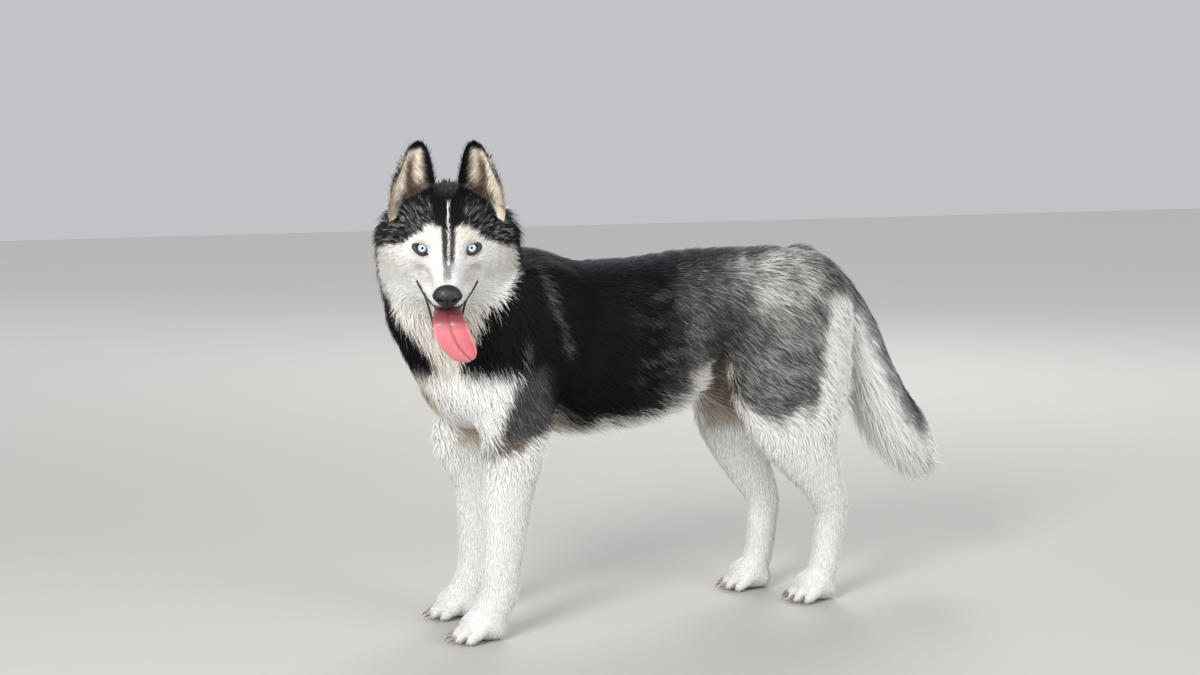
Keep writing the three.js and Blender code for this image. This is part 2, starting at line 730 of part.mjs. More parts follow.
// Cheeks: the ruff that frames the face, in the head's own frame.
function cheekLocks() {
  const rows = [];
  for (const side of [-1, 1])
    for (const [row, y] of [62, 92].entries())
      for (let i = 0; i < 4; i++) {
        const z = -12 - i * 30 - 12 * row;
        const inside = [side * 30, y, z * 0.8];
        const size = { length: 48, half: 16, thick: 4 };
        rows.push(rooted(headDistance, inside, [side, -0.1, z * 0.006], [side * 0.2, 0.75, -0.7], 0.06, size));
      }
  return rows;
}

// All the locks of a node in one solid, and their swollen copies, which are cut from other nodes.
function fused(rows, by = 0, turn = (piece) => piece) {
  return rows.map((row) => turn(lock(row, by))).reduce((a, b) => a.add(b));
}
const coated = (core, locks, ...clear) => largest(clear.reduce((a, b) => a.subtract(b), locks).add(core));

// A claw: a bent cone that leaves the end of its toe and stays above the floor.
function claw([x, y], turn, n, by = 0) {
  const c = cos(radians(turn));
  const s = sin(radians(turn));
  const reach = abs(n) < 1 ? 0 : 10;
  const steps = [
    [-28 + reach, 13, 3.8],
    [-40 + reach, 12.6, 3.6],
    [-47 + reach, 8.5, 2.2],
    [-50 + reach, 4.4, 0.8],
  ];
  return loft(
    steps.map(([back, z, r]) =>
      Array.from({ length: 5 }, (_, j) => {
        const a = (2 * PI * j) / 5;
        const across = n * 16.5 + (r + by) * 0.8 * cos(a);
        return [x + across * c - back * s, y + across * s + back * c, z + (r + by) * sin(a)];
      }),
    ),
  );
}

// Nodes

const BOX = {
  torso: [[-162, -375, 240], [162, 430, 640]],
  neck: [[-150, -460, 300], [180, -120, 730]],
  head: [[-20, -470, 440], [220, -200, 700]],
  tail: [[-80, 250, 140], [80, 620, 610]],
};
const CELL = {
  torso: [36, 38, 34],
  neck: 32,
  head: 11.5,
  foreleg: [13, 14, 27],
  hindleg: [14, 17, 25],
  paw: 9.4,
  tail: [26, 30, 30],
  nose: 5,
};

const MATERIALS = {
  coat_black: [0x1b1c20, 0.85],
  coat_grey: [0x6b6660, 0.9],
  coat_white: [0xe6e4df, 0.9],
  nose_leather: [0x151517, 0.45],
  tongue_flesh: [0xc4585f, 0.4],
  eye_glass: [0xa9c6dd, 0.1],
  claw_horn: [0x3a342f, 0.5],
};
const made = Object.fromEntries(
  Object.entries(MATERIALS).map(([slot, [color, roughness]]) => [
    slot,
    new THREE.MeshStandardMaterial({ color, roughness, name: slot }),
  ]),
);

// A piece in the part's own frame, with points that lie within a hair of each other made one.
const ROUND = 256; // steps in a millimetre
function tidied(piece) {
  const mesh = piece.getMesh();
  const index = new Map();
  const points = [];
  const renamed = [];
  for (let i = 0; i < mesh.vertProperties.length; i += 3) {
    const p = [0, 1, 2].map((n) => Math.round((mesh.vertProperties[i + n] + CENTRE_SHIFT[n]) * ROUND) / ROUND);
    const key = p.join();
    if (!index.has(key)) {
      index.set(key, points.length / 3);
      points.push(...p);
    }
    renamed.push(index.get(key));
  }
  const faces = [];
  for (let i = 0; i < mesh.triVerts.length; i += 3) {
    const face = [0, 1, 2].map((n) => renamed[mesh.triVerts[i + n]]);
    if (new Set(face).size === 3) faces.push(...face);
  }
  return largest(solid(points, faces));
}

const dog = new THREE.Group();
function node(name, piece, slot) {
  const mesh = tidied(piece).getMesh();
  const geometry = new THREE.BufferGeometry();
  geometry.setAttribute("position", new THREE.BufferAttribute(new Float32Array(mesh.vertProperties), 3));
  geometry.setIndex(new THREE.BufferAttribute(new Uint32Array(mesh.triVerts), 1));
  const shape = new THREE.Mesh(geometry, made[slot]);
  shape.name = name;
  dog.add(shape);
}

// Flesh of the trunk, parted where the neck, the head and the legs leave it.
const trunkMesh = flesh(...BOX.torso, CELL.torso);
let torsoCore = kept(trunkMesh, other(CUT.neck));
for (const side of [-1, 1])
  for (const space of [FORE_SPACE, HIND_SPACE]) torsoCore = torsoCore.subtract(legSpace(side, space));
torsoCore = largest(torsoCore);
const neckCore = largest([CUT.neck, other(CUT.head)].reduce(kept, flesh(...BOX.neck, CELL.neck)));
const headMesh = flesh(...BOX.head, CELL.head);
const headGrown = grown(headMesh, 0.45);

// Eyes, ears, nose and tongue, set in the head or on it.
const eyes = {
  left: ball([EYE_SPACING / 2, 0, 0], EYE_RADIUS, 7, 14),
  right: ball([-EYE_SPACING / 2, 0, 0], EYE_RADIUS, 7, 14),
};
const nosePiece = inHead(surfaceNets(noseDistance, [-25, -110, -58], [25, -60, -8], cell3(CELL.nose)));
const tonguePiece = largest(tongue().subtract(headGrown));
const ears = { left: largest(ear(1).subtract(headGrown)), right: largest(ear(-1).subtract(headGrown)) };
let headCore = kept(headMesh, CUT.head);
for (const side of [-1, 1]) headCore = headCore.add(inHead(lid(side)));
for (const eye of Object.values(eyes)) headCore = headCore.subtract(inHead(grown(eye, 0.4)));
headCore = largest(headCore.subtract(grown(nosePiece, 0.4)));

// Legs, paws and claws.
const legCore = {};
const legMeshes = {};
for (const side of ["left", "right"]) {
  const spots = [
    ["fore", FORE_PAW[side], side === "left" ? 2 : -6, FORE_SPACE, CUT.wrist, 70, 130, 360, CELL.foreleg],
    ["hind", HIND_PAW[side], side === "left" ? 4 : -4, HIND_SPACE, CUT.hockPaw, 190, 200, 400, CELL.hindleg],
  ];
  for (const [name, [x, y], turn, top, low, ahead, behind, high, cell] of spots) {
    const legMesh = flesh([x - 64, y - ahead, -16], [x + 64, y + behind, high], cell);
    const space = legSpace(side === "left" ? 1 : -1, top, GAP);
    legMeshes[name + side] = legMesh;
    legCore[name + side] = largest(kept(legMesh, other(low)).intersect(space));
    if (name === "fore") node("foreleg_" + side, legCore[name + side], "coat_white");
    const pawMesh = flesh([x - 50, y - 66, -CELL.paw], [x + 50, y + 76, 98], cell3(CELL.paw));
    node(name + "paw_" + side, largest(kept(kept(pawMesh, low), FLOOR)), "coat_white");
    const pawGrown = grown(pawMesh, 0.45);
    for (const [i, n] of TOES.entries())
      node(name + "claw_" + side + "_" + (i + 1), largest(claw([x, y], turn, n).subtract(pawGrown)), "claw_horn");
  }
}
let tailCore = surfaceNets((p) => limbDistance(p, tail.rows), ...BOX.tail, CELL.tail);
for (const mesh of [trunkMesh, legMeshes.hindleft, legMeshes.hindright])
  tailCore = tailCore.subtract(grown(mesh, 0.45));
tailCore = largest(tailCore);

// Each node's core with its locks. Locks are cut clear of other nodes' cores and of the locks made before them.
const CLEAR = 0.45;
const swollen = (core) => grown(core, 0.5);
const headRows = cheekLocks();
const headClear = [neckCore, ears.left, ears.right, torsoCore].map(swollen);
const headPiece = coated(headCore, fused(headRows, 0, inHead), ...headClear);
const headLocksGrown = fused(headRows, CLEAR, inHead);
const neckRows = neckLocks();
const aboutNeck = [headCore, torsoCore, tonguePiece, ears.left, ears.right].map((core) => swollen(core));
const neckPiece = coated(neckCore, fused(neckRows), headLocksGrown, ...aboutNeck);
const neckLocksGrown = fused(neckRows, CLEAR);
const torsoRows = torsoLocks();
const limbsSwollen = Object.values(legCore).map(swollen);
const aboutTorso = [swollen(neckCore), swollen(tailCore), ...limbsSwollen];
const torsoPiece = coated(torsoCore, fused(torsoRows), neckLocksGrown, headLocksGrown, ...aboutTorso);
const torsoLocksGrown = fused(torsoRows, CLEAR);
const tailRows = tailLocks();
const tailPiece = coated(tailCore, fused(tailRows), swollen(torsoCore), torsoLocksGrown, ...limbsSwollen);
const tailLocksGrown = fused(tailRows, CLEAR);
node("head", headPiece, "coat_white");
node("neck", neckPiece, "coat_black");
node("torso", torsoPiece, "coat_black");
node("tail", tailPiece, "coat_white");
const otherLegs = { left: legCore.hindright, right: legCore.hindleft };
for (const side of ["left", "right"]) {
  const rows = breechesLocks(side === "left" ? 1 : -1, HIND_PAW[side][1]);
  const clear = [swollen(torsoCore), swollen(tailCore), swollen(otherLegs[side]), tailLocksGrown, torsoLocksGrown];
  node("hindleg_" + side, coated(legCore["hind" + side], fused(rows), ...clear), "coat_white");
  node("eye_" + side, inHead(eyes[side]), "eye_glass");
  node("ear_" + side, ears[side], "coat_black");
}
node("nose", nosePiece, "nose_leather");
node("tongue", tonguePiece, "tongue_flesh");

export default dog;
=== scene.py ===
import math
import bpy
import numpy as np
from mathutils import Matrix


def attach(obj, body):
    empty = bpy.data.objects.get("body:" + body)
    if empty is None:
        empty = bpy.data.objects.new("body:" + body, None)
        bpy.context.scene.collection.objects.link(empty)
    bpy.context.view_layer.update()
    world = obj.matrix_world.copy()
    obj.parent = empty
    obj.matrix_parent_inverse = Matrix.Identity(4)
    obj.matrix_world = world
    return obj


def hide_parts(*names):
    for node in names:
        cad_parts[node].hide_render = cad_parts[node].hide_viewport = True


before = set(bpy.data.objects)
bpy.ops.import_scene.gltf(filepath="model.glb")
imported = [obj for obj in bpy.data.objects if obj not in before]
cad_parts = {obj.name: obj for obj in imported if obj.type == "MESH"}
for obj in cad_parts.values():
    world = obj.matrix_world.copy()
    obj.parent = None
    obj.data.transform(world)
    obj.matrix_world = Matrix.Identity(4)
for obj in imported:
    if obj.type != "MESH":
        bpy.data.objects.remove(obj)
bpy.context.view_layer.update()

# Camera, at the photograph's height and angle: to the dog's front left, looking along its flank, 0.8 m
# above the floor and tilted down by about seven degrees, with a 60 mm lens on a 36 mm sensor.
CAMERA_AT = (2.767457, -1.366454, 0.797)
DOWN, HEADING = 6.772, 66.2  # degrees below level, and to the left of looking along +y
lens = bpy.data.cameras.new("camera")
lens.lens = 60.0
lens.sensor_width = 36.0
lens.clip_end = 60.0
camera = bpy.data.objects.new("camera", lens)
camera.location = CAMERA_AT
camera.rotation_euler = (math.radians(90.0 - DOWN), 0.0, math.radians(HEADING))
bpy.context.scene.collection.objects.link(camera)
bpy.context.scene.camera = camera
bpy.context.scene.view_settings.view_transform = "Standard"

# Light: a broad soft lamp above and in front, a weaker one behind the camera and one from the far side,
# with an even pale sky, as in a studio. Each lamp has its place, its breadth in metres and its watts.
LAMP_AIM = (0.0, 0.0, 0.35)
LAMPS = {
    "key": ((2.3, -2.9, 2.2), 1.5, 150.0),
    "fill": ((3.4, 1.5, 1.7), 2.4, 62.0),
    "rim": ((-2.2, 1.4, 2.6), 1.8, 60.0),
}
for name, (place, size, power) in LAMPS.items():
    lamp = bpy.data.lights.new("light_" + name, "AREA")
    lamp.shape = "DISK"
    lamp.size = size
    lamp.energy = power
    holder = bpy.data.objects.new("light_" + name, lamp)
    holder.location = place
    away = np.array(place) - np.array(LAMP_AIM)
    flat = math.hypot(away[0], away[1])
    holder.rotation_euler = (math.atan2(flat, away[2]), 0.0, math.atan2(away[1], away[0]) + math.pi / 2)
    bpy.context.scene.collection.objects.link(holder)
sky = bpy.data.worlds.new("sky")
sky.use_nodes = True
sky.node_tree.nodes["Background"].inputs["Color"].default_value = (0.86, 0.88, 0.92, 1.0)
sky.node_tree.nodes["Background"].inputs["Strength"].default_value = 0.62
bpy.context.scene.world = sky


# Floor: a plain pale sheet of painted board under the dog, paler towards its far edges, where less light
# falls. It isn't part of the model.
class Flow:
    """A socket of a material. Its sums and products add Math nodes."""

    def __init__(self, shader, socket):
        self.shader = shader
        self.socket = socket

    def maths(self, operation, other):
        return self.shader.node("ShaderNodeMath", {"operation": operation}, {0: self, 1: other})

    def __add__(self, other):
        return self.maths("ADD", other)

    def __mul__(self, other):
        return self.maths("MULTIPLY", other)

    __radd__ = __add__
    __rmul__ = __mul__


class Finish:
    """A material with one Principled shader, whose nodes are added with node()."""

    def __init__(self, name, **constants):
        self.material = bpy.data.materials.new(name)
        self.material.use_nodes = True
        self.tree = self.material.node_tree
        self.shader = self.tree.nodes["Principled BSDF"]
        for socket, value in constants.items():
            self.shader.inputs[socket.replace("_", " ")].default_value = value

    def node(self, kind, settings=None, values=None, out=0):
        """Adds a node from its type, its settings and the values or links of its sockets."""
        made = self.tree.nodes.new(kind)
        for key, value in (settings or {}).items():
            setattr(made, key, value)
        for key, value in (values or {}).items():
            if isinstance(value, Flow):
                self.tree.links.new(value.socket, made.inputs[key])
            else:
                made.inputs[key].default_value = value
        return Flow(self, made.outputs[out])

    def feed(self, socket, flow):
        """Links a flow to one of the Principled shader's sockets."""
        self.tree.links.new(flow.socket, self.shader.inputs[socket])

    def place(self):
        return self.node("ShaderNodeTexCoord", out="Object")

    def noise(self, scale, detail=3.0):
        """Noise from 0 to 1 with about scale grains to a metre."""
        values = {"Vector": self.place(), "Scale": scale, "Detail": detail}
        return self.node("ShaderNodeTexNoise", {}, values)

    def shade(self, colour, factor, low, high):
        """The colour times a grey that runs from low to high as the factor goes from 0 to 1."""
        grey = factor * (high - low) + low
        values = {0: colour, 1: grey}
        return self.node("ShaderNodeVectorMath", {"operation": "MULTIPLY"}, values)

    def bump(self, height, strength, distance):
        values = {"Height": height, "Strength": strength, "Distance": distance}
        self.feed("Normal", self.node("ShaderNodeBump", {}, values))


FLOOR_HALF = 9.0
floor_finish = Finish("floor_paint", Roughness=0.85)
away = floor_finish.node("ShaderNodeVectorMath", {"operation": "LENGTH"}, {0: floor_finish.place()}, "Value")
ramp = {"Value": away, "From Min": 1.2, "From Max": 5.0}
distant = floor_finish.node("ShaderNodeMapRange", {"interpolation_type": "SMOOTHSTEP"}, ramp)
floor_finish.feed("Base Color", floor_finish.shade((0.47, 0.455, 0.43), distant, 1.0, 1.8))
floor_mesh = bpy.data.meshes.new("floor")
floor_corners = [(x * FLOOR_HALF, y * FLOOR_HALF, 0) for x, y in ((-1, -1), (1, -1), (1, 1), (-1, 1))]
floor_mesh.from_pydata(floor_corners, [], [(0, 1, 2, 3)])
floor_mesh.materials.append(floor_finish.material)
floor = bpy.data.objects.new("floor", floor_mesh)
bpy.context.scene.collection.objects.link(floor)

# Form under the coat: flesh and skin of the whole dog, as one smooth field of rounded cones.
# Every limb is a row of stations: x, y, z of its middle, half its width and half its depth, in millimetres.
SHIFT = np.array([-24.543, -88.254, 0.0])  # from the frame of these stations to the frame of the model
FORE_PAW = {"left": (72.0, -276.0), "right": (-73.0, -261.0)}
HIND_PAW = {"left": (57.0, 298.0), "right": (-56.0, 239.0)}
REACH = 70.0  # no distance is worked out farther from a limb than this
SOLE = 2.5  # how far the rounded toes would reach below the flat soles


def rounded(stations, steps=3):
    """The stations with others between them, on a Catmull-Rom curve: a cubic from each station to the next,
    which runs at either end along the line between that station's neighbours."""
    rows = np.array(stations, float)
    t = (np.arange(steps) / steps)[None, :, None]
    a, b = np.vstack([rows[:1], rows[:-2]])[:, None], rows[:-1][:, None]
    c, d = rows[1:][:, None], np.vstack([rows[2:], rows[-1:]])[:, None]
    curve = b + 0.5 * t * (c - a + t * (2 * a - 5 * b + 4 * c - d + t * (3 * (b - c) + d - a)))
    return np.vstack([curve.reshape(-1, 5), rows[-1:]])


def limb_distance(p, rows):
    """How far points are past the ellipse across the nearest place of a limb's line: the distance from the
    line, less itself over the distance measured in half widths and half depths."""
    best = np.full(len(p), 1e6)
    for a, b in zip(rows[:-1], rows[1:]):
        line = b[:3] - a[:3]
        off = p - a[:3]
        t = np.clip(off @ line / max(line @ line, 1e-6), 0, 1)
        off = off - t[:, None] * line
        half = a[3:] + t[:, None] * (b[3:] - a[3:])
        rest = off[:, 1] ** 2 + off[:, 2] ** 2
        far = np.sqrt(off[:, 0] ** 2 + rest)
        scaled = np.sqrt((off[:, 0] / half[:, 0]) ** 2 + rest / half[:, 1] ** 2)
        best = np.minimum(best, far - far / np.maximum(scaled, 1e-6))
    return best


def join(a, b, k):
    """The smaller of two distances, rounded where they are within k of each other."""
    h = np.maximum(k - np.abs(a - b), 0) / k
    return np.minimum(a, b) - h * h * k / 4


def step(low, high, x):
    """0 below low, 1 above high, and a smooth rise between."""
    t = np.clip((x - low) / (high - low), 0, 1)
    return t * t * (3 - 2 * t)


def paw(centre, turn):
    """A paw's back and its four toes, the middle two longest, turned outwards by some degrees."""
    c, s = math.cos(math.radians(turn)), math.sin(math.radians(turn))

    def at(across, back, z, w, d):
        return (centre[0] + across * c - back * s, centre[1] + across * s + back * c, z - SOLE, w, d)

    made = [(14, rounded([at(0, 26, 20, 25, 20), at(0, -6, 26, 28, 23)], 1))]
    for n in (-1.5, -0.5, 0.5, 1.5):
        reach = 0 if abs(n) < 1 else 10
        toe = [at(n * 13, 2, 26, 11, 13), at(n * 15.5, reach - 18, 20, 11, 13)]
        toe.append(at(n * 16, reach - 31, 12, 10, 11))
        made.append((5, rounded(toe, 2)))
    return made


def foreleg(side, centre, forward):
    """Shoulder, upper arm, forearm and pastern. forward is how far the elbow stands ahead."""
    x, y = centre
    return [(38, rounded([
        (side * 62, -170, 485, 34, 66), (side * 72, -224 - forward * 0.3, 400, 36, 68),
        (side * 76, -220 - forward * 0.6, 330, 34, 60), (side * 76, -219 - forward, 275, 31, 49),
        (x, y + 50 - forward * 0.45, 215, 28, 41), (x, y + 40, 120, 26, 34), (x, y + 34, 70, 26, 32),
        (x, y + 18, 36, 27, 30)]))]


def hindleg(side, centre, forward):
    """Thigh, second thigh, hock and metatarsus. forward is how far this foot stands ahead."""
    x, y = centre
    return [(40, rounded([
        (side * 48, 268, 470, 46, 92), (side * 58, 252 - forward * 0.2, 390, 44, 112),
        (side * 66, 258 - forward * 0.5, 315, 38, 86), (side * 66, 278 - forward * 0.8, 255, 33, 60),
        (side * 64, y + 10, 200, 27, 41), (x + side * 4, y + 33, 150, 23, 31), (x, y + 30, 100, 22, 27),
        (x, y + 22, 52, 23, 27), (x, y + 8, 30, 26, 26)]))]


torso = [(1, rounded([
    (0, -259, 384, 88, 74), (0, -190, 440, 97, 124), (0, -95, 433.5, 103, 125), (0, 10, 441, 98, 119),
    (0, 110, 474, 85, 95), (0, 215, 480, 90, 90), (0, 292, 478, 78, 82)]))]
neck = [(60, rounded([
    (0, -205, 462, 90, 98), (-3, -280, 488, 96, 98), (2, -296, 545, 88, 95), (10, -300, 580, 76, 80)]))]
tail_rows = rounded([
    (0, 300, 532, 32, 36), (0, 356, 496, 31, 36), (0, 403, 436, 31, 36), (0, 436, 368, 31, 37),
    (0, 474, 304, 29, 37), (0, 520, 252, 23, 30), (0, 548, 222, 11, 14)])
limbs = torso + neck
limbs += foreleg(1, FORE_PAW["left"], 0) + paw(FORE_PAW["left"], 2)
limbs += foreleg(-1, FORE_PAW["right"], 26) + paw(FORE_PAW["right"], -6)
limbs += hindleg(1, HIND_PAW["left"], 0) + paw(HIND_PAW["left"], 4)
limbs += hindleg(-1, HIND_PAW["right"], 58) + paw(HIND_PAW["right"], -4)

# Head, in its own frame: the eyes' middle is the origin, +x its left, -y forward and +z up.
# It is turned 70 degrees to the dog's left, with the muzzle dropped.
HEAD_AT = np.array([108.0, -332.0, 588.0])
turn, drop = math.radians(70.5), math.radians(17.5)
about_z = np.array([[math.cos(turn), -math.sin(turn), 0], [math.sin(turn), math.cos(turn), 0], [0, 0, 1]])
about_x = np.array([[1, 0, 0], [0, math.cos(drop), -math.sin(drop)], [0, math.sin(drop), math.cos(drop)]])
HEAD_TURN = about_z @ about_x
EYE_SPACING, EYE_RADIUS = 70.0, 11.5
MOUTH_Y, MOUTH_Z = -6.0, -49.0
UPPER_LIP, LOWER_LIP = math.radians(12), math.radians(27)
LOOK = np.array([0.0, -0.927, 0.375])  # the way that the dog looks
RISE = np.array([0.0, 0.375, 0.927])  # square to it, and up the face


def to_head(p):
    """Places in the head's frame, from those in the body's."""
    return (p - HEAD_AT) @ HEAD_TURN


def from_head(h):
    """Places in the body's frame, from those in the head's."""
    return h @ HEAD_TURN.T + HEAD_AT


def both(soft, stations, steps=3):
    """The same limb on the left and on the right of the head, with how softly it joins the rest."""
    rows = rounded(stations, steps)
    return [(soft, rows * [side, 1, 1, 1, 1]) for side in (-1, 1)]


skull = [(1, rounded([(0, 62, 14, 62, 60), (0, 34, 22, 58, 56), (0, 14, 12, 50, 38)]))]
muzzle = [(26, rounded([
    (0, 8, -14, 40, 30), (0, -30, -24, 27, 24), (0, -60, -32, 22, 20), (0, -70, -36, 20, 18)]))]
brows = both(16, [(15, -4, 14, 17, 12), (19, 14, 32, 22, 18)], 1)
cheekbones = both(26, [(40, 14, -18, 22, 24), (56, 44, -22, 30, 40)])
cheek_ruff = both(30, [
    (54, 72, 18, 30, 30), (67, 84, -16, 38, 40), (52, 84, -74, 38, 42), (28, 88, -120, 38, 42)])
lip_pads = both(12, [(32, 4, -44, 16, 17), (23, -38, -47, 14, 15), (12, -67, -52, 13, 13)])
jaw = [(22, rounded([
    (0, 50, -62, 46, 34), (0, 14, -66, 40, 24), (0, -20, -78, 28, 17), (0, -50, -92, 19, 13),
    (0, -66, -98, 15, 11)]))]
head = skull + muzzle + brows + cheekbones + cheek_ruff + lip_pads + jaw


def mouth_distance(h):
    """Distance into the open mouth: the wedge between the two lip planes, ahead of the mouth's corners."""
    y, z = h[:, 1] - MOUTH_Y, h[:, 2] - MOUTH_Z
    under = z * math.cos(UPPER_LIP) - y * math.sin(UPPER_LIP)
    over = y * math.sin(LOWER_LIP) - z * math.cos(LOWER_LIP)
    return np.maximum(np.maximum(under, over), y + 2)


def closed_distance(h):
    """The head with its mouth shut: its limbs joined, and two round hollows cut for the eyes."""
    f = limb_distance(h, head[0][1])
    for soft, rows in head[1:]:
        f = join(f, limb_distance(h, rows), soft)
    for side in (-1, 1):
        off = (h - [side * (EYE_SPACING / 2 + 3), -19, 1]) / [1, 1, 0.85]
        f = -join(-f, np.linalg.norm(off, axis=1) - 14, 8)
    return f


def head_distance(h):
    """The head with the open mouth cut out of it."""
    return -join(-closed_distance(h), mouth_distance(h), 5)


def coat_depth(p, h):
    """How far the skin lies under the coat: thin on face and feet, thick on the trunk."""
    depth = 4 + 6 * step(210, 340, p[:, 2])
    face = 1 - step(60, 130, np.linalg.norm(h - [0, -10, -20], axis=1))
    eye = np.minimum(np.linalg.norm(h - [35, -8, 0], axis=1), np.linalg.norm(h - [-35, -8, 0], axis=1))
    on_face = 1.2 + 2.5 * step(12, 26, eye) + 4 * step(0, 50, h[:, 1])
    return depth + (on_face - depth) * face


def skin_distance(p):
    """The whole dog's field, with the coat's depth taken off."""
    f = np.full(len(p), REACH)
    for soft, rows in limbs + [(22, tail_rows)]:
        reach = rows[:, 3:].max(1)[:, None] + REACH
        low, high = (rows[:, :3] - reach).min(0), (rows[:, :3] + reach).max(0)
        near = ((p > low) & (p < high)).all(1)
        f[near] = join(f[near], limb_distance(p[near], rows), soft)
    h = to_head(p)
    near = np.linalg.norm(h - [0, 20, -20], axis=1) < 190
    f[near] = join(f[near], head_distance(h[near]), 34)
    return f + coat_depth(p, h)


# Skin: one closed hide from nose to tail and down to the soles, a shade darker than the hair over it.
# It is meshed where the field is zero, which is worked out coarsely first and then finely near the surface.
CELL = 3.7  # mm
BLOCK = 4  # cells along a side of a coarse block
LOW, HIGH = np.array([-145.0, -440.0, -8.0]), np.array([215.0, 590.0, 705.0])  # corners of the meshed box


def field_grid():
    """Values of the field on the grid. Only blocks of cells near the surface are worked out finely."""
    blocks = np.ceil((HIGH - LOW) / (CELL * BLOCK)).astype(int) + 1
    index = np.stack(np.meshgrid(*[np.arange(n) for n in blocks], indexing="ij"), -1).reshape(-1, 3)
    coarse = skin_distance(LOW + index * CELL * BLOCK).reshape(blocks)
    near = np.abs(coarse) < CELL * BLOCK * 1.5
    fine = np.repeat(np.repeat(np.repeat(coarse, BLOCK, 0), BLOCK, 1), BLOCK, 2)
    wanted = np.repeat(np.repeat(np.repeat(near, BLOCK, 0), BLOCK, 1), BLOCK, 2)
    half = BLOCK // 2
    fine = fine[half:-half, half:-half, half:-half].copy()
    wanted = wanted[half:-half, half:-half, half:-half]
    index = np.argwhere(wanted)
    corner = LOW + half * CELL
    fine[wanted] = skin_distance(corner + index * CELL)
    return fine, corner


def surface_nets(values, corner, cell):
    """One vertex in each cell that the surface crosses, at the mean of its edges' crossings, and one quad
    round each crossed edge, through the four cells about it."""
    inside = values < 0
    shape = np.array(values.shape)
    total = np.zeros((*(shape - 1), 3))
    count = np.zeros(shape - 1)
    whole = [slice(None)] * 3
    quads = []
    crossings = []
    for axis in range(3):
        first, second = list(whole), list(whole)
        first[axis], second[axis] = slice(None, -1), slice(1, None)
        a, b = values[tuple(first)], values[tuple(second)]
        crossed = inside[tuple(first)] != inside[tuple(second)]
        at = np.argwhere(crossed)
        share = (a[crossed] / (a[crossed] - b[crossed]))[:, None]
        place = at + share * np.eye(3)[axis]
        crossings.append((axis, at, inside[tuple(first)][crossed]))
        u, v = (axis + 1) % 3, (axis + 2) % 3
        for du in (0, -1):
            for dv in (0, -1):
                cells = at.copy()
                cells[:, u] += du
                cells[:, v] += dv
                fits = ((cells >= 0) & (cells < shape - 1)).all(1)
                np.add.at(total, tuple(cells[fits].T), place[fits])
                np.add.at(count, tuple(cells[fits].T), 1)
    used = count > 0
    number = np.full(count.shape, -1)
    number[used] = np.arange(used.sum())
    points = corner + total[used] / count[used][:, None] * cell
    for axis, at, starts_inside in crossings:
        u, v = (axis + 1) % 3, (axis + 2) % 3
        ring = []
        for du, dv in ((0, 0), (-1, 0), (-1, -1), (0, -1)):
            cells = at.copy()
            cells[:, u] += du
            cells[:, v] += dv
            ring.append(number[tuple(cells.T)])
        quad = np.stack(ring, 1)
        quad[~starts_inside] = quad[~starts_inside][:, ::-1]
        quads.append(quad)
    return points, np.vstack(quads)


def slope(field, p):
    """The unit direction in which a field grows, from its values 1 mm to each side along the three axes."""
    g = np.stack([field(p + axis) - field(p - axis) for axis in np.eye(3)], 1)
    return g / np.maximum(np.linalg.norm(g, axis=1), 1e-9)[:, None]


skin_points, skin_quads = surface_nets(*field_grid(), CELL)
skin_normals = slope(skin_distance, skin_points)
skin_points -= skin_normals * np.clip(skin_distance(skin_points), -1.5, 1.5)[:, None]
skin_points[:, 2] = np.maximum(skin_points[:, 2], 0.4)


# Markings: a black cap, ruff and saddle, a grizzled grey rump and thighs, and a white face, chest, belly
# and legs. The same formulas colour the skin and the hair, from the place and which way the skin faces.
BLACK = np.array([0.0085, 0.0085, 0.0105])
DARK = np.array([0.035, 0.033, 0.033])
GREY = np.array([0.17, 0.163, 0.16])
PALE = np.array([0.48, 0.465, 0.44])
WHITE = np.array([0.95, 0.94, 0.91])
CREAM = np.array([0.80, 0.71, 0.58])
FAWN = np.array([0.40, 0.30, 0.21])
LAVENDER = np.array([0.37, 0.365, 0.39])
SHEEN = np.array([0.016, 0.019, 0.026])  # the bluish shine along the spine
TAIL_WAY = np.array([0, 0.55, -0.83])  # from the tail's root to its tip
TAIL_TOP = np.array([0, 0.83, 0.55])  # square to it, on the tail's outer side


def wobble(p, size, seed):
    """A smooth pattern between about -1 and 1: a sine of the place along one line times a cosine along
    another, each bent by a sine along the next, at three sizes of which each is finer and weaker."""
    total = np.zeros(len(p))
    for fineness in range(3):
        wave = 2 * math.pi / (size / 1.7**fineness)
        a = p @ np.array([0.71, 0.53, 0.46]) * wave + seed + fineness
        b = p @ np.array([-0.42, 0.78, -0.47]) * wave * 1.13 + 2.1 * seed + fineness
        c = p @ np.array([0.55, -0.31, 0.77]) * wave * 0.91 + 0.7 * seed
        total += np.sin(a + 1.3 * np.sin(b)) * np.cos(c + np.sin(a)) * 0.62**fineness
    return total / 1.3


def blend(colour, over, mask):
    """The colour, gone over to another by as much as the mask says, from 0 to 1."""
    return colour + (over - colour) * np.clip(mask, 0, 1)[:, None]


def band(x, middle, half, soft):
    """1 within half of the middle, falling to 0 over soft."""
    return 1 - step(half, half + soft, np.abs(x - middle))


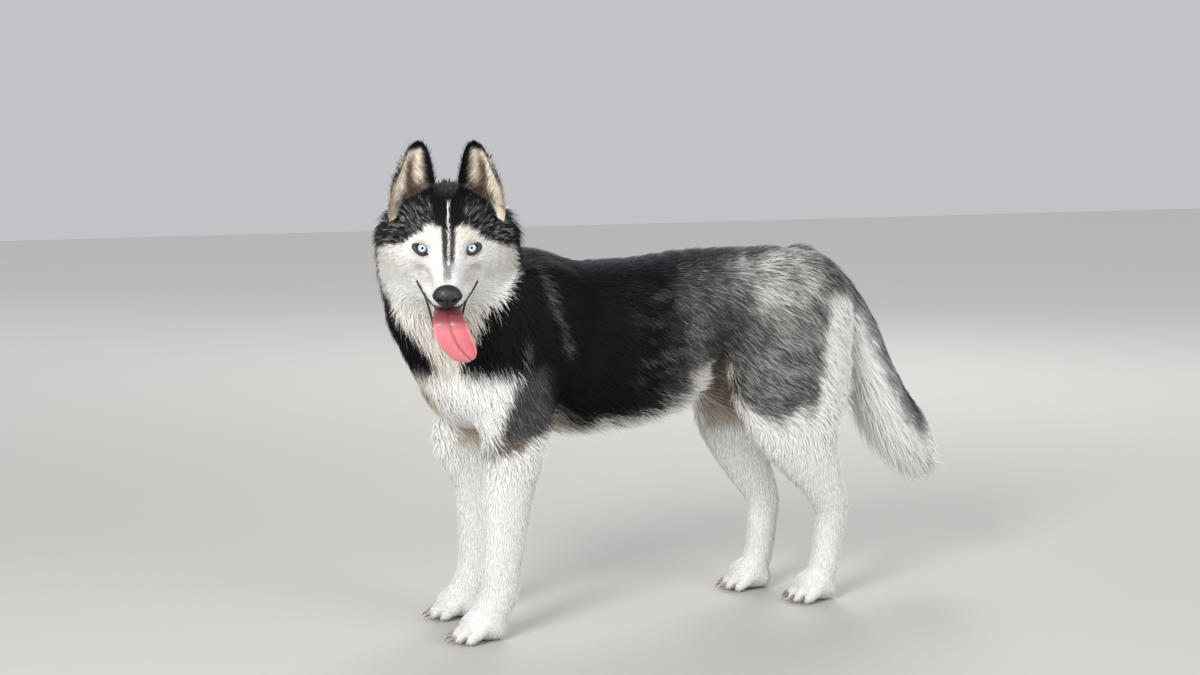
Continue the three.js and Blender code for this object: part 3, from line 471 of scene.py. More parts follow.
def face_colour(h, p):
    """Markings of the head with some painted shade, laid out as it is seen from in front: across it and up
    it.
    """
    across = h[:, 0] - 1.0
    side = np.abs(across) + 2.5 * wobble(p, 34, 4.0)
    up = h @ RISE + 2.5 * wobble(p, 30, 1.0)
    colour = np.repeat(WHITE[None], len(h), 0)
    temples = band(up, -10, 12, 20) * step(50, 80, side)
    colour = blend(colour, CREAM, 0.55 * step(-60, -120, up) + 0.3 * temples)
    colour = blend(colour, CREAM, 0.45 * band(side, 22, 12, 10) * band(up, 22, 16, 10))
    edge = np.interp(side, [0, 9, 18, 30, 42, 56, 75, 97, 120], [16, 26, 31, 28, 18, 8, 4, 3, -4])
    cap = step(-3, 5, up - edge)
    ray = np.arctan2(up + 10, side) * 60
    streaks = 0.5 + 0.5 * np.sin(ray + 2 * wobble(p, 40, 7.0)) * wobble(p, 22, 3.0)
    pale = 0.8 * step(0.45, 0.85, streaks) * band(side, 55, 26, 22) * (1 - step(52, 76, up))
    grizzle = blend(np.repeat(BLACK[None] * 1.2, len(h), 0), PALE * 0.8, pale)
    grizzle = blend(grizzle, BLACK, np.maximum(step(60, 80, up), 1 - step(14, 32, side)))
    colour = blend(colour, grizzle, cap)
    # Painted shade in the groove beside the muzzle, running down from the inner eye corner towards the mouth
    muzzle_side_shade = band(side - 0.35 * (up + 28), 36, 3, 10) * band(up, -28, 16, 16)
    colour = blend(colour, CREAM * 0.62, 0.5 * muzzle_side_shade)
    stripe = band(across, 1, 7.2 + 0.05 * np.clip(up, 0, 60), 2.5) * step(-36, -14, up)
    colour = blend(colour, BLACK, stripe * 0.95)
    colour = blend(colour, GREY, band(across, -1, 3.5, 4) * band(up, -33, 8, 10) * 0.7)
    colour = blend(colour, WHITE, band(across, 1, 0.5, 1.3) * band(up, 17, 40, 6) * 0.95)
    # Painted shade at each eye's inner corner
    for side_of in (-1, 1):
        socket = (h - [side_of * 22, -8, -9]) / [9, 14, 6]
        colour = blend(colour, GREY * 0.7, 0.6 * (1 - step(0.4, 1.2, np.linalg.norm(socket, axis=1))))
    rim = np.interp(up, [-200, -165, -146, -113, -93, -70, -38, 7, 30], [24, 20, 22, 46, 62, 83, 98, 97, 99])
    rim *= 1 + 0.16 * step(-70, -100, up) * np.sign(-across)
    behind = np.maximum(step(-5, 6, side - rim), step(62, 74, h[:, 1] - 0.10 * side))
    return blend(colour, BLACK, behind)


def grizzled_colour(p, rag, folds):
    """The rump and thighs: grey with pale swirls, darker ahead of the thigh and black along the spine."""
    x, y, z = p.T
    colour = np.repeat(GREY[None], len(p), 0) * (0.7 + 0.5 * (1 - step(440, 500, z)))[:, None]
    patches = 0.5 + 0.5 * wobble(p * [1, 0.75, 1.2], 82, 3.0)
    pale_rump = band(y, 225, 52, 60) * band(z, 520, 34, 40)
    swirl = step(0.36, 0.62, 0.55 * patches + 0.45 * folds)
    swirls = 0.95 * pale_rump * (0.08 + 0.92 * swirl) + 0.35 * swirl * (1 - pale_rump)
    colour = blend(colour, PALE * 1.4, swirls)
    spot = 0.5 * band(y, 150, 30, 40) * band(z, 440, 24, 40) * (0.3 + 0.9 * folds)
    colour = blend(colour, DARK, 0.6 * band(y + rag, 122, 18, 34) * (0.4 + 0.7 * patches) + spot)
    colour = blend(colour, DARK, 0.55 * step(0.55, 0.9, folds) + 0.35 * step(0.6, 0.95, 1 - patches))
    spine = (1 - step(22, 58, np.abs(x))) * step(516, 552, z) * (1 - step(290, 312, y))
    colour = blend(colour, BLACK, 0.8 * spine)
    return blend(colour, DARK, 0.7 * band(y, 308, 14, 16) * band(z, 500, 60, 40) * folds)


def under_colour(colour, p, n, rag, folds):
    """The groin, the upper arms, the belly and the chest, laid over the colour of the trunk."""
    x, y, z = p.T
    side = np.abs(x)
    groin = (1 - step(384, 400, z + rag * 0.5)) * (1 - step(60, 74, side))
    groin *= step(55, 80, y) * (1 - step(190, 220, y))
    colour = blend(colour, CREAM * 0.95, groin)
    outer = step(-0.2, 0.15, n[:, 0] * np.sign(x)) * step(46, 60, side)
    arm = band(y + 0.2 * (z - 330), -222, 44, 24) * (1 - step(400, 430, z + rag)) * outer
    colour = blend(colour, GREY * 0.6, 0.85 * arm * (0.6 + 0.4 * folds))
    colour = blend(colour, FAWN * 1.3, 0.25 * arm * band(z, 290, 8, 20))
    belly_line = np.interp(y, [-260, -180, -90, -10, 60, 100, 130], [268, 318, 336, 342, 366, 396, 404])
    belly = (1 - step(-7, 7, z - belly_line + rag * 0.7)) * (1 - step(120, 140, y + 0.5 * (z - 380)))
    colour = blend(colour, WHITE * 0.96, belly)
    brisket = (1 - step(335, 360, z + rag * 0.5)) * (1 - step(54, 68, side)) * (1 - step(-160, -120, y))
    colour = blend(colour, CREAM, brisket)
    throat = 45 * (1 - step(12, 34, np.abs(x - 8 - 0.3 * rag)))
    chest = 1 - step(-7, 7, z - 398 - 0.5 * side - throat + rag * 0.6)
    chest *= 1 - step(-10, 10, y + rag * 0.5 + 230 + 0.27 * (400 - z) + 0.6 * (60 - np.minimum(side, 60)))
    colour = blend(colour, WHITE, chest)
    colour = blend(colour, CREAM, chest * 0.6 * band(z, 390, 40, 30) * (1 - step(6, 40, np.abs(x + 4))))
    # Painted shade, brown, in the chest's fold above the forelegs
    from_fold_shade = np.linalg.norm((p - [-8, -312, 366]) / [1, 2, 0.8], axis=1)
    return blend(colour, FAWN, 0.75 * (1 - step(10, 34, from_fold_shade)))


def hind_colour(colour, p, n, rag, folds):
    """The thighs' dark lower edge, and below and behind it the white hind legs and breeches."""
    x, y, z = p.T
    front = step(-12, 12, y - 118 - (380 - z) + rag * 0.8)
    low_edge = 296 + 0.45 * np.abs(y - 205) + rag * 1.3
    shade = 0.65 * band(z - low_edge, 20, 14, 34)
    shade += 0.6 * band(y - 0.3 * (z - 400), 150, 16, 30) * (1 - step(450, 490, z))
    colour = blend(colour, DARK, shade * (0.4 + 0.6 * folds) * step(110, 150, y))
    white_leg = (1 - front * step(-20, 16, z - low_edge)) * (1 - step(388, 404, z)) * step(60, 100, y)
    colour = blend(colour, WHITE, white_leg)
    breeches = step(280, 298, y + rag * 0.9 - 0.12 * (z - 400)) * band(z, 380, 104, 26)
    colour = blend(colour, WHITE, breeches * 0.95)
    inner = step(100, 130, y) * (1 - step(50, 58, np.abs(x))) * band(z, 280, 60, 30)
    inner *= step(0.1, 0.5, -n[:, 0] * np.sign(x))
    colour = blend(colour, FAWN * 1.3, inner * 0.6)
    return blend(colour, WHITE, (1 - step(266, 288, z + rag * 0.5)) * (1 - step(330, 380, y - (200 - z))))


def body_colour(p, n):
    """Markings of the trunk and the legs. rag makes their edges ragged, and folds streaks them."""
    x, y, z = p.T
    side = np.abs(x)
    rag = 9 * wobble(p, 60, 2.0) + 4 * wobble(p, 24, 5.0)
    folds = 0.5 + 0.5 * wobble(p * [1, 0.8, 1.4], 30, 9.0)
    colour = np.repeat(BLACK[None], len(p), 0)
    colour = blend(colour, SHEEN, (1 - step(30, 62, side)) * step(520, 550, z) * 0.8)
    colour = blend(colour, grizzled_colour(p, rag, folds), step(10, 160, y + 2.2 * rag - 0.15 * (z - 450)))
    glints = step(0.5, 0.95, 0.5 + 0.5 * wobble(p * [1, 0.35, 2.2], 46, 8.0))
    glints *= step(-60, 0, y) * (1 - step(60, 100, y)) * step(50, 80, side)
    colour = blend(colour, GREY, 0.35 * glints)
    streak = band(y + rag * 0.6, -156 - 0.30 * (z - 460), 0, 9) * step(50, 70, side) * band(z, 495, 50, 34)
    colour = blend(colour, GREY, 0.55 * streak * (0.4 + 0.6 * folds))
    colour = under_colour(colour, p, n, rag, folds)
    return hind_colour(colour, p, n, rag, folds)


def tail_colour(p, n):
    """Markings of the tail: dark along its upper side, grey on its flanks, white below and at the tip."""
    above = n @ TAIL_TOP + 0.25 * wobble(p, 40, 6.0)
    colour = np.repeat(WHITE[None], len(p), 0) * 0.97
    colour = blend(colour, LAVENDER, step(-0.25, 0.4, above) * (1 - step(520, 542, p[:, 1])))
    colour = blend(colour, DARK, step(0.55, 0.9, above) * (1 - step(500, 520, p[:, 1])) * 0.9)
    return blend(colour, DARK * 1.5, step(-0.1, 0.6, above) * band(p[:, 1], 500, 12, 18) * 0.75)


def nearness(p):
    """Places in the head's frame, and how much each belongs to the head and to the tail, from 0 to 1."""
    h = to_head(p)
    of_head = 1 - step(-6, 8, head_distance(h) - 12)
    of_head *= 1 - step(80, 96, h[:, 1])
    of_tail = 1 - step(4, 16, limb_distance(p, tail_rows))
    of_tail *= step(326, 350, p[:, 1] - 0.35 * (p[:, 2] - 480))
    return h, of_head, of_tail


def marked(p, n):
    """The coat's colour anywhere on the dog."""
    h, of_head, of_tail = nearness(p)
    throat = (1 - step(60, 74, h[:, 1])) * (1 - step(104, 116, np.abs(h[:, 0])))
    throat *= step(-186, -166, h @ RISE)
    colour = body_colour(p, n)
    colour = blend(colour, tail_colour(p, n), of_tail)
    return blend(colour, face_colour(h, p), np.maximum(of_head, throat))


def mesh_piece(name, points, faces, finish, replaced=()):
    """A piece of the model from points in millimetres. It stands still with the dog's one body."""
    mesh = bpy.data.meshes.new(name)
    mesh.from_pydata((points + SHIFT) / 1000, [], faces, shade_flat=False)
    mesh.materials.append(finish.material)
    piece = bpy.data.objects.new(name, mesh)
    bpy.context.scene.collection.objects.link(piece)
    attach(piece, "root")
    if replaced:
        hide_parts(*replaced)
    return piece


def paint(piece, colours):
    """Keeps a colour for each point of a piece, which its material reads."""
    layer = piece.data.color_attributes.new("coat", "FLOAT_COLOR", "POINT")
    rows = np.ones((len(colours), 4), np.float32)
    rows[:, :3] = colours
    layer.data.foreach_set("color", rows.ravel())


skin_finish = Finish("skin_hide", Roughness=0.8, Specular_IOR_Level=0.2)
hide = skin_finish.node("ShaderNodeVertexColor", {"layer_name": "coat"})
skin_finish.feed("Base Color", skin_finish.shade(hide, skin_finish.noise(420.0), 0.6, 1.0))
skin_finish.bump(skin_finish.noise(700.0), 0.4, 0.002)
FLESH = ["head", "neck", "torso", "tail"]
for part in ("foreleg_", "forepaw_", "hindleg_", "hindpaw_"):
    FLESH += [part + "left", part + "right"]
skin = mesh_piece("skin", skin_points, skin_quads, skin_finish, FLESH)
skin_colours = marked(skin_points, skin_normals) * 0.82
skin_head = to_head(skin_points)
in_mouth = 1 - step(-1, 3, mouth_distance(skin_head + [0, 3, 0]))
in_mouth *= np.linalg.norm(skin_head, axis=1) < 140
# Inside the open mouth the skin is a dark red lining, darkened further as painted shade
skin_colours = blend(skin_colours, np.array([0.05, 0.012, 0.014]), in_mouth)
paint(skin, skin_colours)

# Eyes: pale blue glass-clear balls with a small pupil, a white ring about it and a dark edge to the iris.
# Each ball is lofted through rings about the way that it looks, and stands for its CAD node.
PUPIL, RING, IRIS, LIMBUS = 2.0, 3.5, 5.9, 7.1  # how far from the middle each ends
CORNEA = 0.5  # how far the front bulges
FIBRES = 23  # round the iris
IRIS_BLUE, FIBRE_BLUE = np.array([0.40, 0.54, 0.68]), np.array([0.22, 0.36, 0.52])
RING_WHITE, EYE_WHITE = np.array([0.74, 0.84, 0.92]), np.array([0.30, 0.24, 0.22])
PUPIL_BLACK, EDGE_BLACK = np.array([0.01, 0.012, 0.015]), np.array([0.012, 0.018, 0.03])
EYE_ANGLES = np.radians([
    2, 5, 8, 9, 12, 15, 18, 22, 26, 30, 33, 35, 37, 39, 42, 48, 56, 66, 78, 92, 108, 126, 146, 166])


def lofted(rings, looped=False):
    """A closed surface through rings of points: joined end to end, or shut at both ends by a fan."""
    count, size = rings.shape[:2]
    points = rings.reshape(-1, 3)
    start = np.arange(count if looped else count - 1)[:, None] * size
    column = np.arange(size)
    beside = (column + 1) % size
    after = (start + size) % (count * size)
    quads = np.stack([start + column, start + beside, after + beside, after + column], -1).reshape(-1, 4)
    tris = np.vstack([quads[:, [0, 1, 2]], quads[:, [0, 2, 3]]])
    if not looped:
        points = np.vstack([points, rings[0].mean(0), rings[-1].mean(0)])
        last = (count - 1) * size
        first_fan = np.stack([beside, column, np.full(size, len(points) - 2)], 1)
        last_fan = np.stack([last + column, last + beside, np.full(size, len(points) - 1)], 1)
        tris = np.vstack([tris, first_fan, last_fan])
    a, b, c = (points[tris[:, i]] for i in range(3))
    outward = (np.cross(a, b) * c).sum() > 0
    return points, tris if outward else tris[:, ::-1]


eye_finish = Finish("eye_glass", Roughness=0.06, Coat_Weight=1.0, Coat_Roughness=0.02, IOR=1.4)
iris = eye_finish.node("ShaderNodeVertexColor", {"layer_name": "coat"})
eye_finish.feed("Base Color", eye_finish.shade(iris, eye_finish.noise(1400.0), 0.85, 1.1))
around = np.arange(64) / 64 * 2 * math.pi
for side, sign in (("left", 1), ("right", -1)):
    eye_at = np.array([sign * EYE_SPACING / 2, 0, 0])
    swell = EYE_RADIUS + CORNEA * (1 - step(0.3, 0.9, EYE_ANGLES))
    flat = np.cos(around)[:, None] * [1, 0, 0] + np.sin(around)[:, None] * RISE
    ahead = (np.cos(EYE_ANGLES) * swell)[:, None, None] * LOOK
    points, faces = lofted(eye_at + (ahead + (np.sin(EYE_ANGLES) * swell)[:, None, None] * flat))
    eye = mesh_piece("eyeball_" + side, from_head(points), faces, eye_finish, ["eye_" + side])
    off = points - eye_at
    across = np.linalg.norm(off - (off @ LOOK)[:, None] * LOOK, axis=1)
    across = np.where(off @ LOOK > 0, across, EYE_RADIUS + CORNEA)
    fibres = 0.5 + 0.5 * np.sin(np.arctan2(off @ RISE, off[:, 0]) * FIBRES + across * 0.8)
    colours = np.repeat(IRIS_BLUE[None], len(points), 0)
    colours = blend(colours, FIBRE_BLUE, fibres * step(3, 5.5, across))
    colours = blend(colours, RING_WHITE, 1 - step(RING - 0.5, RING + 0.7, across))
    colours = blend(colours, PUPIL_BLACK, 1 - step(PUPIL, PUPIL + 0.4, across))
    colours = blend(colours, EDGE_BLACK, step(IRIS - 0.3, IRIS + 0.6, across))
    colours = blend(colours, EYE_WHITE, step(LIMBUS + 0.6, LIMBUS + 2.0, across))
    paint(eye, colours)

# Eyelids: black leathery rims about an almond opening, the inner corner drawn down towards the nose.
# Each is a closed band swept round the opening, half sunk in the skin.
LID_WIDE, LID_HIGH = 9.8, 6.6  # half the opening
LID_CORNER = 4.0  # how far the inner corner is drawn in towards the nose
LID_BLACK = np.array([0.014, 0.012, 0.012])


def swept(line, wide, thick, size=10, looped=False):
    """A band with an oval section along a line: at each turn, the sideways vector times its cosine and the
    thickness, square to it and to the line, times its sine."""
    turned = np.arange(size) / size * 2 * math.pi
    along = np.roll(line, -1, 0) - np.roll(line, 1, 0)
    if not looped:
        along[0], along[-1] = line[1] - line[0], line[-1] - line[-2]
    up = np.cross(along, wide)
    up = up / np.linalg.norm(up, axis=1)[:, None] * thick[:, None]
    rings = line[:, None] + wide[:, None] * np.cos(turned)[:, None] + up[:, None] * np.sin(turned)[:, None]
    return lofted(rings, looped)


def glossy(name, roughness, coat, grain, depth, low=0.75):
    """A finish that shows the piece's own painted colour under a moist gloss, with a fine grain."""
    made = Finish(name, Coat_Weight=coat, Coat_Roughness=0.12, Specular_IOR_Level=0.5)
    base = made.node("ShaderNodeVertexColor", {"layer_name": "coat"})
    speckle = made.noise(grain)
    made.feed("Base Color", made.shade(base, speckle, low, 1.15))
    made.feed("Roughness", speckle * 0.2 + (roughness - 0.1))
    made.bump(made.noise(grain * 1.7), 0.5, depth)
    return made


lid_finish = glossy("lid_skin", 0.5, 0.15, 900.0, 0.0006)
for side, sign in (("left", 1), ("right", -1)):
    out, up = np.cos(around), np.sin(around)
    corner = (0.5 - 0.5 * out) ** 7
    a = LID_WIDE * out - LID_CORNER * corner
    b = LID_HIGH * np.sign(up) * np.abs(up) ** 1.2 - 3.2 * corner + 0.16 * a
    grown = 1 + 0.9 / np.hypot(a, b)
    a, b = a * grown, b * grown
    ahead = 12.9 - 0.034 * (a**2 + b**2)
    line = sign * a[:, None] * [1, 0, 0] + b[:, None] * RISE + ahead[:, None] * LOOK
    outer = sign * a[:, None] * [1, 0, 0] + b[:, None] * RISE - 0.55 * np.hypot(a, b)[:, None] * LOOK
    breadth = 2.3 + 0.9 * (up > 0) * up + 1.6 * corner + 1.2 * (0.5 + 0.5 * out) ** 7
    wide = outer / np.linalg.norm(outer, axis=1)[:, None] * breadth[:, None]
    eye_at = np.array([sign * EYE_SPACING / 2, 0, 0])
    points, faces = swept(eye_at + line + wide * 0.5, wide, np.full(64, 1.3), 10, True)
    lid = mesh_piece("eyelids_" + side, from_head(points), faces, lid_finish, ())
    paint(lid, np.repeat(LID_BLACK[None], len(points), 0))

# Nose: black pebbled leather, moist, wide above and narrow below. It is a ball whose front is dented by two
# comma nostrils and a groove between them, and it stands for its CAD node.
nose_finish = glossy("nose_leather", 0.34, 0.12, 1100.0, 0.0009, 0.6)
NOSE_AT, NOSE_HALF = np.array([0.0, -85.0, -37.5]), np.array([20.0, 15.0, 18.5])
NOSTRIL_DEEP, GROOVE_DEEP = 8.0, 1.6
polar = np.linspace(0.03, math.pi - 0.2, 46)[:, None]
turned = np.arange(84)[None] / 84 * 2 * math.pi
nx, nz, ny = np.sin(polar) * np.cos(turned), np.sin(polar) * np.sin(turned), -np.cos(polar) + 0 * turned
width = 1 - 0.30 * step(0.0, 1.0, -nz) + 0.05 * band(nz, -0.1, 0.15, 0.3)
front = step(0.0, 0.4, -ny)
hole = np.exp(-((np.abs(nx) - 0.47) ** 2 / 0.020 + (nz + 0.20) ** 2 / 0.018))
comma = np.exp(-((np.abs(nx) - 0.74) ** 2 / 0.030 + (nz + 0.33 + 0.2 * (np.abs(nx) - 0.74)) ** 2 / 0.006))
groove = np.exp(-(nx / 0.05) ** 2) * step(-0.05, 0.25, 0.2 - nz)
dent = front * np.maximum(hole, 0.75 * comma)
shape = np.stack([nx * width, ny * (1 - 0.08 * np.maximum(nz, 0)), nz * np.where(nz > 0, 0.86, 1)], -1)
depth = dent * NOSTRIL_DEEP + front * groove * GROOVE_DEEP
rings = NOSE_AT + shape * NOSE_HALF + depth[..., None] * [0, 1, 0.1]
points, faces = lofted(rings)
nose = mesh_piece("nose_pad", from_head(points), faces, nose_finish, ["nose"])
inside = np.append(dent.ravel(), [0, 0])
high = np.append(np.clip(nz * (1 - front * 0.2), 0, 1).ravel(), [0, 0])
colours = np.repeat([[0.005, 0.005, 0.006]], len(points), 0)
colours = blend(colours, np.array([0.010, 0.010, 0.011]), high * 0.8)  # greyer on top: painted sheen
# Darker still inside the nostrils: painted shade
paint(nose, blend(colours, np.array([0.001, 0.001, 0.001]), step(0.25, 0.6, inside)))

# Lips: thin black edges of bare skin round the open mouth, a tube along each jaw where the hair stops.
# The upper one's line is found on the closed muzzle by halving, and the lower one's follows the jaw.
lip_finish = glossy("lip_skin", 0.42, 0.3, 700.0, 0.0006)
from_front = np.linspace(-119, 119, 73)
heading = np.radians(from_front)
away = np.stack([np.sin(heading), -np.cos(heading), 0 * heading], 1)
near, far = np.full(73, 5.0), np.full(73, 75.0)
for halving in range(14):
    middle = (near + far) / 2
    place = away * middle[:, None] + [0, -30, 0]
    place[:, 2] = MOUTH_Z + (place[:, 1] - MOUTH_Y) * math.tan(UPPER_LIP) + 1.0
    within = closed_distance(place) < -2.2
    near, far = np.where(within, middle, near), np.where(within, far, middle)
thinner = 1 - 0.6 * step(0, 60, from_front) - 0.3 * step(95, 119, np.abs(from_front))
thinner -= 0.35 * (1 - step(15, 40, np.abs(from_front)))
sideways = np.array([[0, 0, 2.1]]) * (thinner * (1 + 0.15 * np.sin(heading * 17)))[:, None]
points, faces = swept(place, sideways, np.full(73, 1.5))
lips = mesh_piece("upper_lip", from_head(points), faces, lip_finish, ())
paint(lips, np.repeat([[0.012, 0.011, 0.011]], len(points), 0))
# The left half of the lower lip, from the mouth's corner to its middle
half_lip = np.array([
    (39.5, -8, -53), (33, -18, -64), (27, -32, -76), (22.5, -48, -87), (19, -60, -96),
    (15.5, -69, -102), (9, -77, -104)])
knots = np.vstack([half_lip * [-1, 1, 1], half_lip[::-1]])
knots = rounded(np.hstack([knots, np.zeros((len(knots), 2))]), 6)[:, :3]
knots = knots * [0.95, 1, 1] - [1.5, 0, 0]
points, faces = swept(knots, np.tile([0, 0, 2.4], (len(knots), 1)), np.full(len(knots), 1.6))
lips = mesh_piece("lower_lip", from_head(points), faces, lip_finish, ())
paint(lips, np.repeat(LID_BLACK[None], len(points), 0))

# Tongue: moist pink flesh, flat and grooved, hanging over the lower lip and swinging to the dog's left.
# Each station has its middle, half its width and half its thickness, and the whole stands for its CAD node.
TONGUE_GROOVE = 2.6
PINK, RIM_LIGHT_PINK = np.array([0.70, 0.20, 0.22]), np.array([0.78, 0.33, 0.35])
RED = np.array([0.52, 0.07, 0.09])
GROOVE_SHADE_RED, ROOT_SHADE_RED = np.array([0.34, 0.07, 0.085]), np.array([0.16, 0.03, 0.035])
tongue_finish = glossy("tongue_flesh", 0.42, 0.2, 800.0, 0.0008, 0.86)
stations = rounded([
    (0, -20, -70, 16, 5), (0, -50, -76, 20, 5), (1, -76, -73, 22, 5), (2.3, -91, -77, 23, 4.6),
    (5.5, -95, -88, 25, 4.4), (12, -95, -104, 23.5, 4), (20, -93, -118, 22, 3.8), (28, -91, -128, 16, 3.4),
    (33, -89, -134, 8, 2.6)], 7)
line = stations[:, :3]
along = np.gradient(line, axis=0)
along /= np.linalg.norm(along, axis=1)[:, None]
broad = np.array([1.0, 0, 0]) - along * along[:, :1]
broad /= np.linalg.norm(broad, axis=1)[:, None]
over = np.cross(along, broad)
turned = np.arange(40) / 40 * 2 * math.pi
q, top = np.cos(turned), np.sin(turned)
height = stations[:, 4:] * np.sign(top) * np.abs(top) ** 0.8
height = height - TONGUE_GROOVE * np.exp(-(q / 0.13) ** 2) * (top > 0)
height = height + 0.9 * np.sin(np.arange(len(line)) * 0.21 + 2)[:, None] * (q * q) - 1.2 * q * q
rings = line[:, None] + broad[:, None] * (stations[:, 3:4] * q)[..., None]
points, faces = lofted(rings + over[:, None] * height[..., None])
tongue = mesh_piece("tongue_hanging", from_head(points), faces, tongue_finish, ["tongue"])
q_all = np.append(np.tile(q, len(line)), [0, 0])
colours = np.repeat(PINK[None], len(points), 0)
colours = blend(colours, RED, step(0.1, 0.9, q_all) * 0.6)
# Paler along both edges: painted rim light
colours = blend(colours, RIM_LIGHT_PINK, step(0.78, 0.97, np.abs(q_all)) * 0.7)
# Darker down the middle groove: painted shade
colours = blend(colours, GROOVE_SHADE_RED, np.exp(-(q_all / 0.07) ** 2) * 0.75)
# Darker towards the root, inside the mouth: painted shade
colours = blend(colours, ROOT_SHADE_RED, step(-88, -70, points[:, 2]) * 0.9)
paint(tongue, colours)

# Ears: upright gristle under short hair, cupped to the front, with a rounded tip. Their edges are laid out
# as seen from in front, across and up from the point between the eyes. Each ear stands for its CAD node.
EAR_CUP, EAR_WALL = 24.0, 3.4  # depth and thickness at the base
# Colours of the lining, of the painted shadow in the cup and of the painted shade at the opening
EAR_LINING, EAR_SHADOW, EAR_OPENING_SHADE = (0.70, 0.59, 0.47), (0.13, 0.085, 0.06), (0.07, 0.05, 0.04)
EAR_AT = [-0.14, 0.0, 0.35, 0.62, 0.82, 0.94, 1.0]  # shares of the height, for the two edges
EAR_OUTER = [(-82, 38), (-84, 49), (-79, 88), (-67, 116), (-57, 135), (-50.5, 144), (-44, 148)]
EAR_INNER = [(-18, 76), (-16, 92), (-19, 110), (-22.5, 127), (-26, 139), (-30.5, 146.5), (-37, 149)]
ear_finish = Finish("ear_skin", Roughness=0.75)
ear_hide = ear_finish.node("ShaderNodeVertexColor", {"layer_name": "coat"})
ear_finish.feed("Base Color", ear_finish.shade(ear_hide, ear_finish.noise(500.0), 0.7, 1.1))
ear_finish.bump(ear_finish.noise(800.0), 0.4, 0.001)


def ear_colour(q, s, behind):
    """q runs from the outer edge at -1 to the inner one at 1, s from the base to the tip, and behind is 1
    on the ear's back."""
    colour = np.repeat(np.array([EAR_LINING]), len(q), 0)
    colour = blend(colour, CREAM, band(q, -0.45, 0.25, 0.3) + step(0.1, 0.5, s) * 0.5)
    # Painted shadow, brown, down the middle of the ear's cup
    deep = band(q, 0.12 - 0.2 * s, 0.12, 0.26) * (1 - step(0.5, 0.85, s))
    colour = blend(colour, np.array(EAR_SHADOW), deep)
    # Painted shade where the ear's opening lies, low on its outer side
    colour = blend(colour, np.array(EAR_OPENING_SHADE), (1 - step(0.04, 0.2, s)) * step(-0.75, -0.3, q))
    edge = np.maximum(step(0.66, 0.8, q), step(0.72, 0.86, -q) * step(0.25, 0.5, s))
    colour = blend(colour, BLACK, np.maximum(edge, step(0.80, 0.88, s)))
    return blend(colour, BLACK * 1.3, behind)


ears = {}
levels = np.concatenate([[-0.14, -0.06], np.linspace(0, 0.85, 16), [0.9, 0.94, 0.97, 0.99, 1.0]])
q = np.cos(np.linspace(0, math.pi, 22))
for side, sign in (("right", 1), ("left", -1)):
    outer = np.stack([np.interp(levels, EAR_AT, [c[i] for c in EAR_OUTER]) for i in (0, 1)], 1)
    inner = np.stack([np.interp(levels, EAR_AT, [c[i] for c in EAR_INNER]) for i in (0, 1)], 1)
    share = ((q + 1) / 2)[None, :, None]
    flat = outer[:, None] * (1 - share) + inner[:, None] * share
    cup = (EAR_CUP * (1 - np.clip(levels, 0, 1)) ** 0.8 + 1)[:, None] * (1 - q * q) ** 0.7
    wall = (EAR_WALL - 1.6 * np.clip(levels, 0, 1))[:, None] * (1 - q * q) ** 0.25
    ahead = -19.8 + (flat[..., 1] - 57.6) * 0.333
    front = flat[..., :1] * [sign, 0, 0] + flat[..., 1:] * RISE + (ahead - cup)[..., None] * LOOK
    back = front - (wall + 0.02)[..., None] * LOOK
    points, faces = lofted(np.concatenate([front, back[:, -2:0:-1]], 1))
    of_back = np.append(np.tile(np.repeat([0, 1], [22, 20]), len(levels)), [0, 0])
    q_all = np.append(np.tile(np.append(q, q[-2:0:-1]), len(levels)), [0, 0])
    s_all = np.append(np.repeat(levels, 42), levels[[0, -1]])
    colours = ear_colour(q_all, s_all, of_back)
    ear = mesh_piece("ear_skin_" + side, from_head(points), faces, ear_finish, ["ear_" + side])
    paint(ear, colours)
    ears[side] = (points, faces, colours, of_back, q_all, s_all)

# Claws: dark horn in fine streaks, one on each of the four toes of a paw. They keep their CAD shape and get
# only this finish.
horn = Finish("claw_horn", Roughness=0.4, Specular_IOR_Level=0.5)
horn_grain = horn.noise(350.0, 4.0)
horn.feed("Base Color", horn.shade((0.20, 0.165, 0.135), horn_grain, 0.4, 1.6))
horn.bump(horn_grain, 0.3, 0.0006)
for name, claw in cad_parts.items():
    if "claw" in name:
        claw.data.materials.clear()
        claw.data.materials.append(horn.material)

# Coat: dense double fur that lies back along the dog. Every tuft is a thin bent blade with three sides,
# rooted just under the skin, short on face and feet and long on the neck, the breeches and the tail.
TUFTS = {
    "coat_head": 19600, "coat_neck": 18200, "coat_shoulders": 17400, "coat_flanks": 17600,
    "coat_rump": 19600, "coat_foreleg_left": 8300, "coat_foreleg_right": 8300,
    "coat_hindleg_left": 8800, "coat_hindleg_right": 8800, "coat_tail": 11500,
}
PATCH = 0.003  # the breadth of a tuft's patch in the map that the markings are baked to
TRUNK_HAIR, LEG_HAIR, FOOT_HAIR, FACE_HAIR = 25.0, 11.0, 5.0, 10.0  # lengths
CHEST_MORE, BELLY_MORE, BREECHES_MORE = 12.0, 30.0, 16.0  # longer than the trunk's by this much
TAIL_HAIR, PLUME_MORE = 34.0, 52.0  # on the tail's outer side, and how much longer below it
coat_finish = Finish("coat_hair", Roughness=0.55, Specular_IOR_Level=0.06)
hair = coat_finish.node("ShaderNodeVertexColor", {"layer_name": "coat"})
coat_finish.feed("Base Color", coat_finish.shade(hair, coat_finish.noise(900.0, 2.0), 0.72, 1.22))


def part_of(p, of_head, of_tail):
    """The number of the coat piece that a place on the skin belongs to, counted as they stand in TUFTS."""
    x, y, z = p.T
    part = np.select([y < -215 + 0.3 * (z - 480), y < -60, y < 110], [1, 2, 3], 4)
    left = x > 0
    part = np.where((z < 325) & (y < -60) & (part != 3), np.where(left, 5, 6), part)
    part = np.where((z < 340) & (y > 90), np.where(left, 7, 8), part)
    part = np.where(of_tail > 0.5, 9, part)
    return np.where(of_head > 0.5, 0, part)


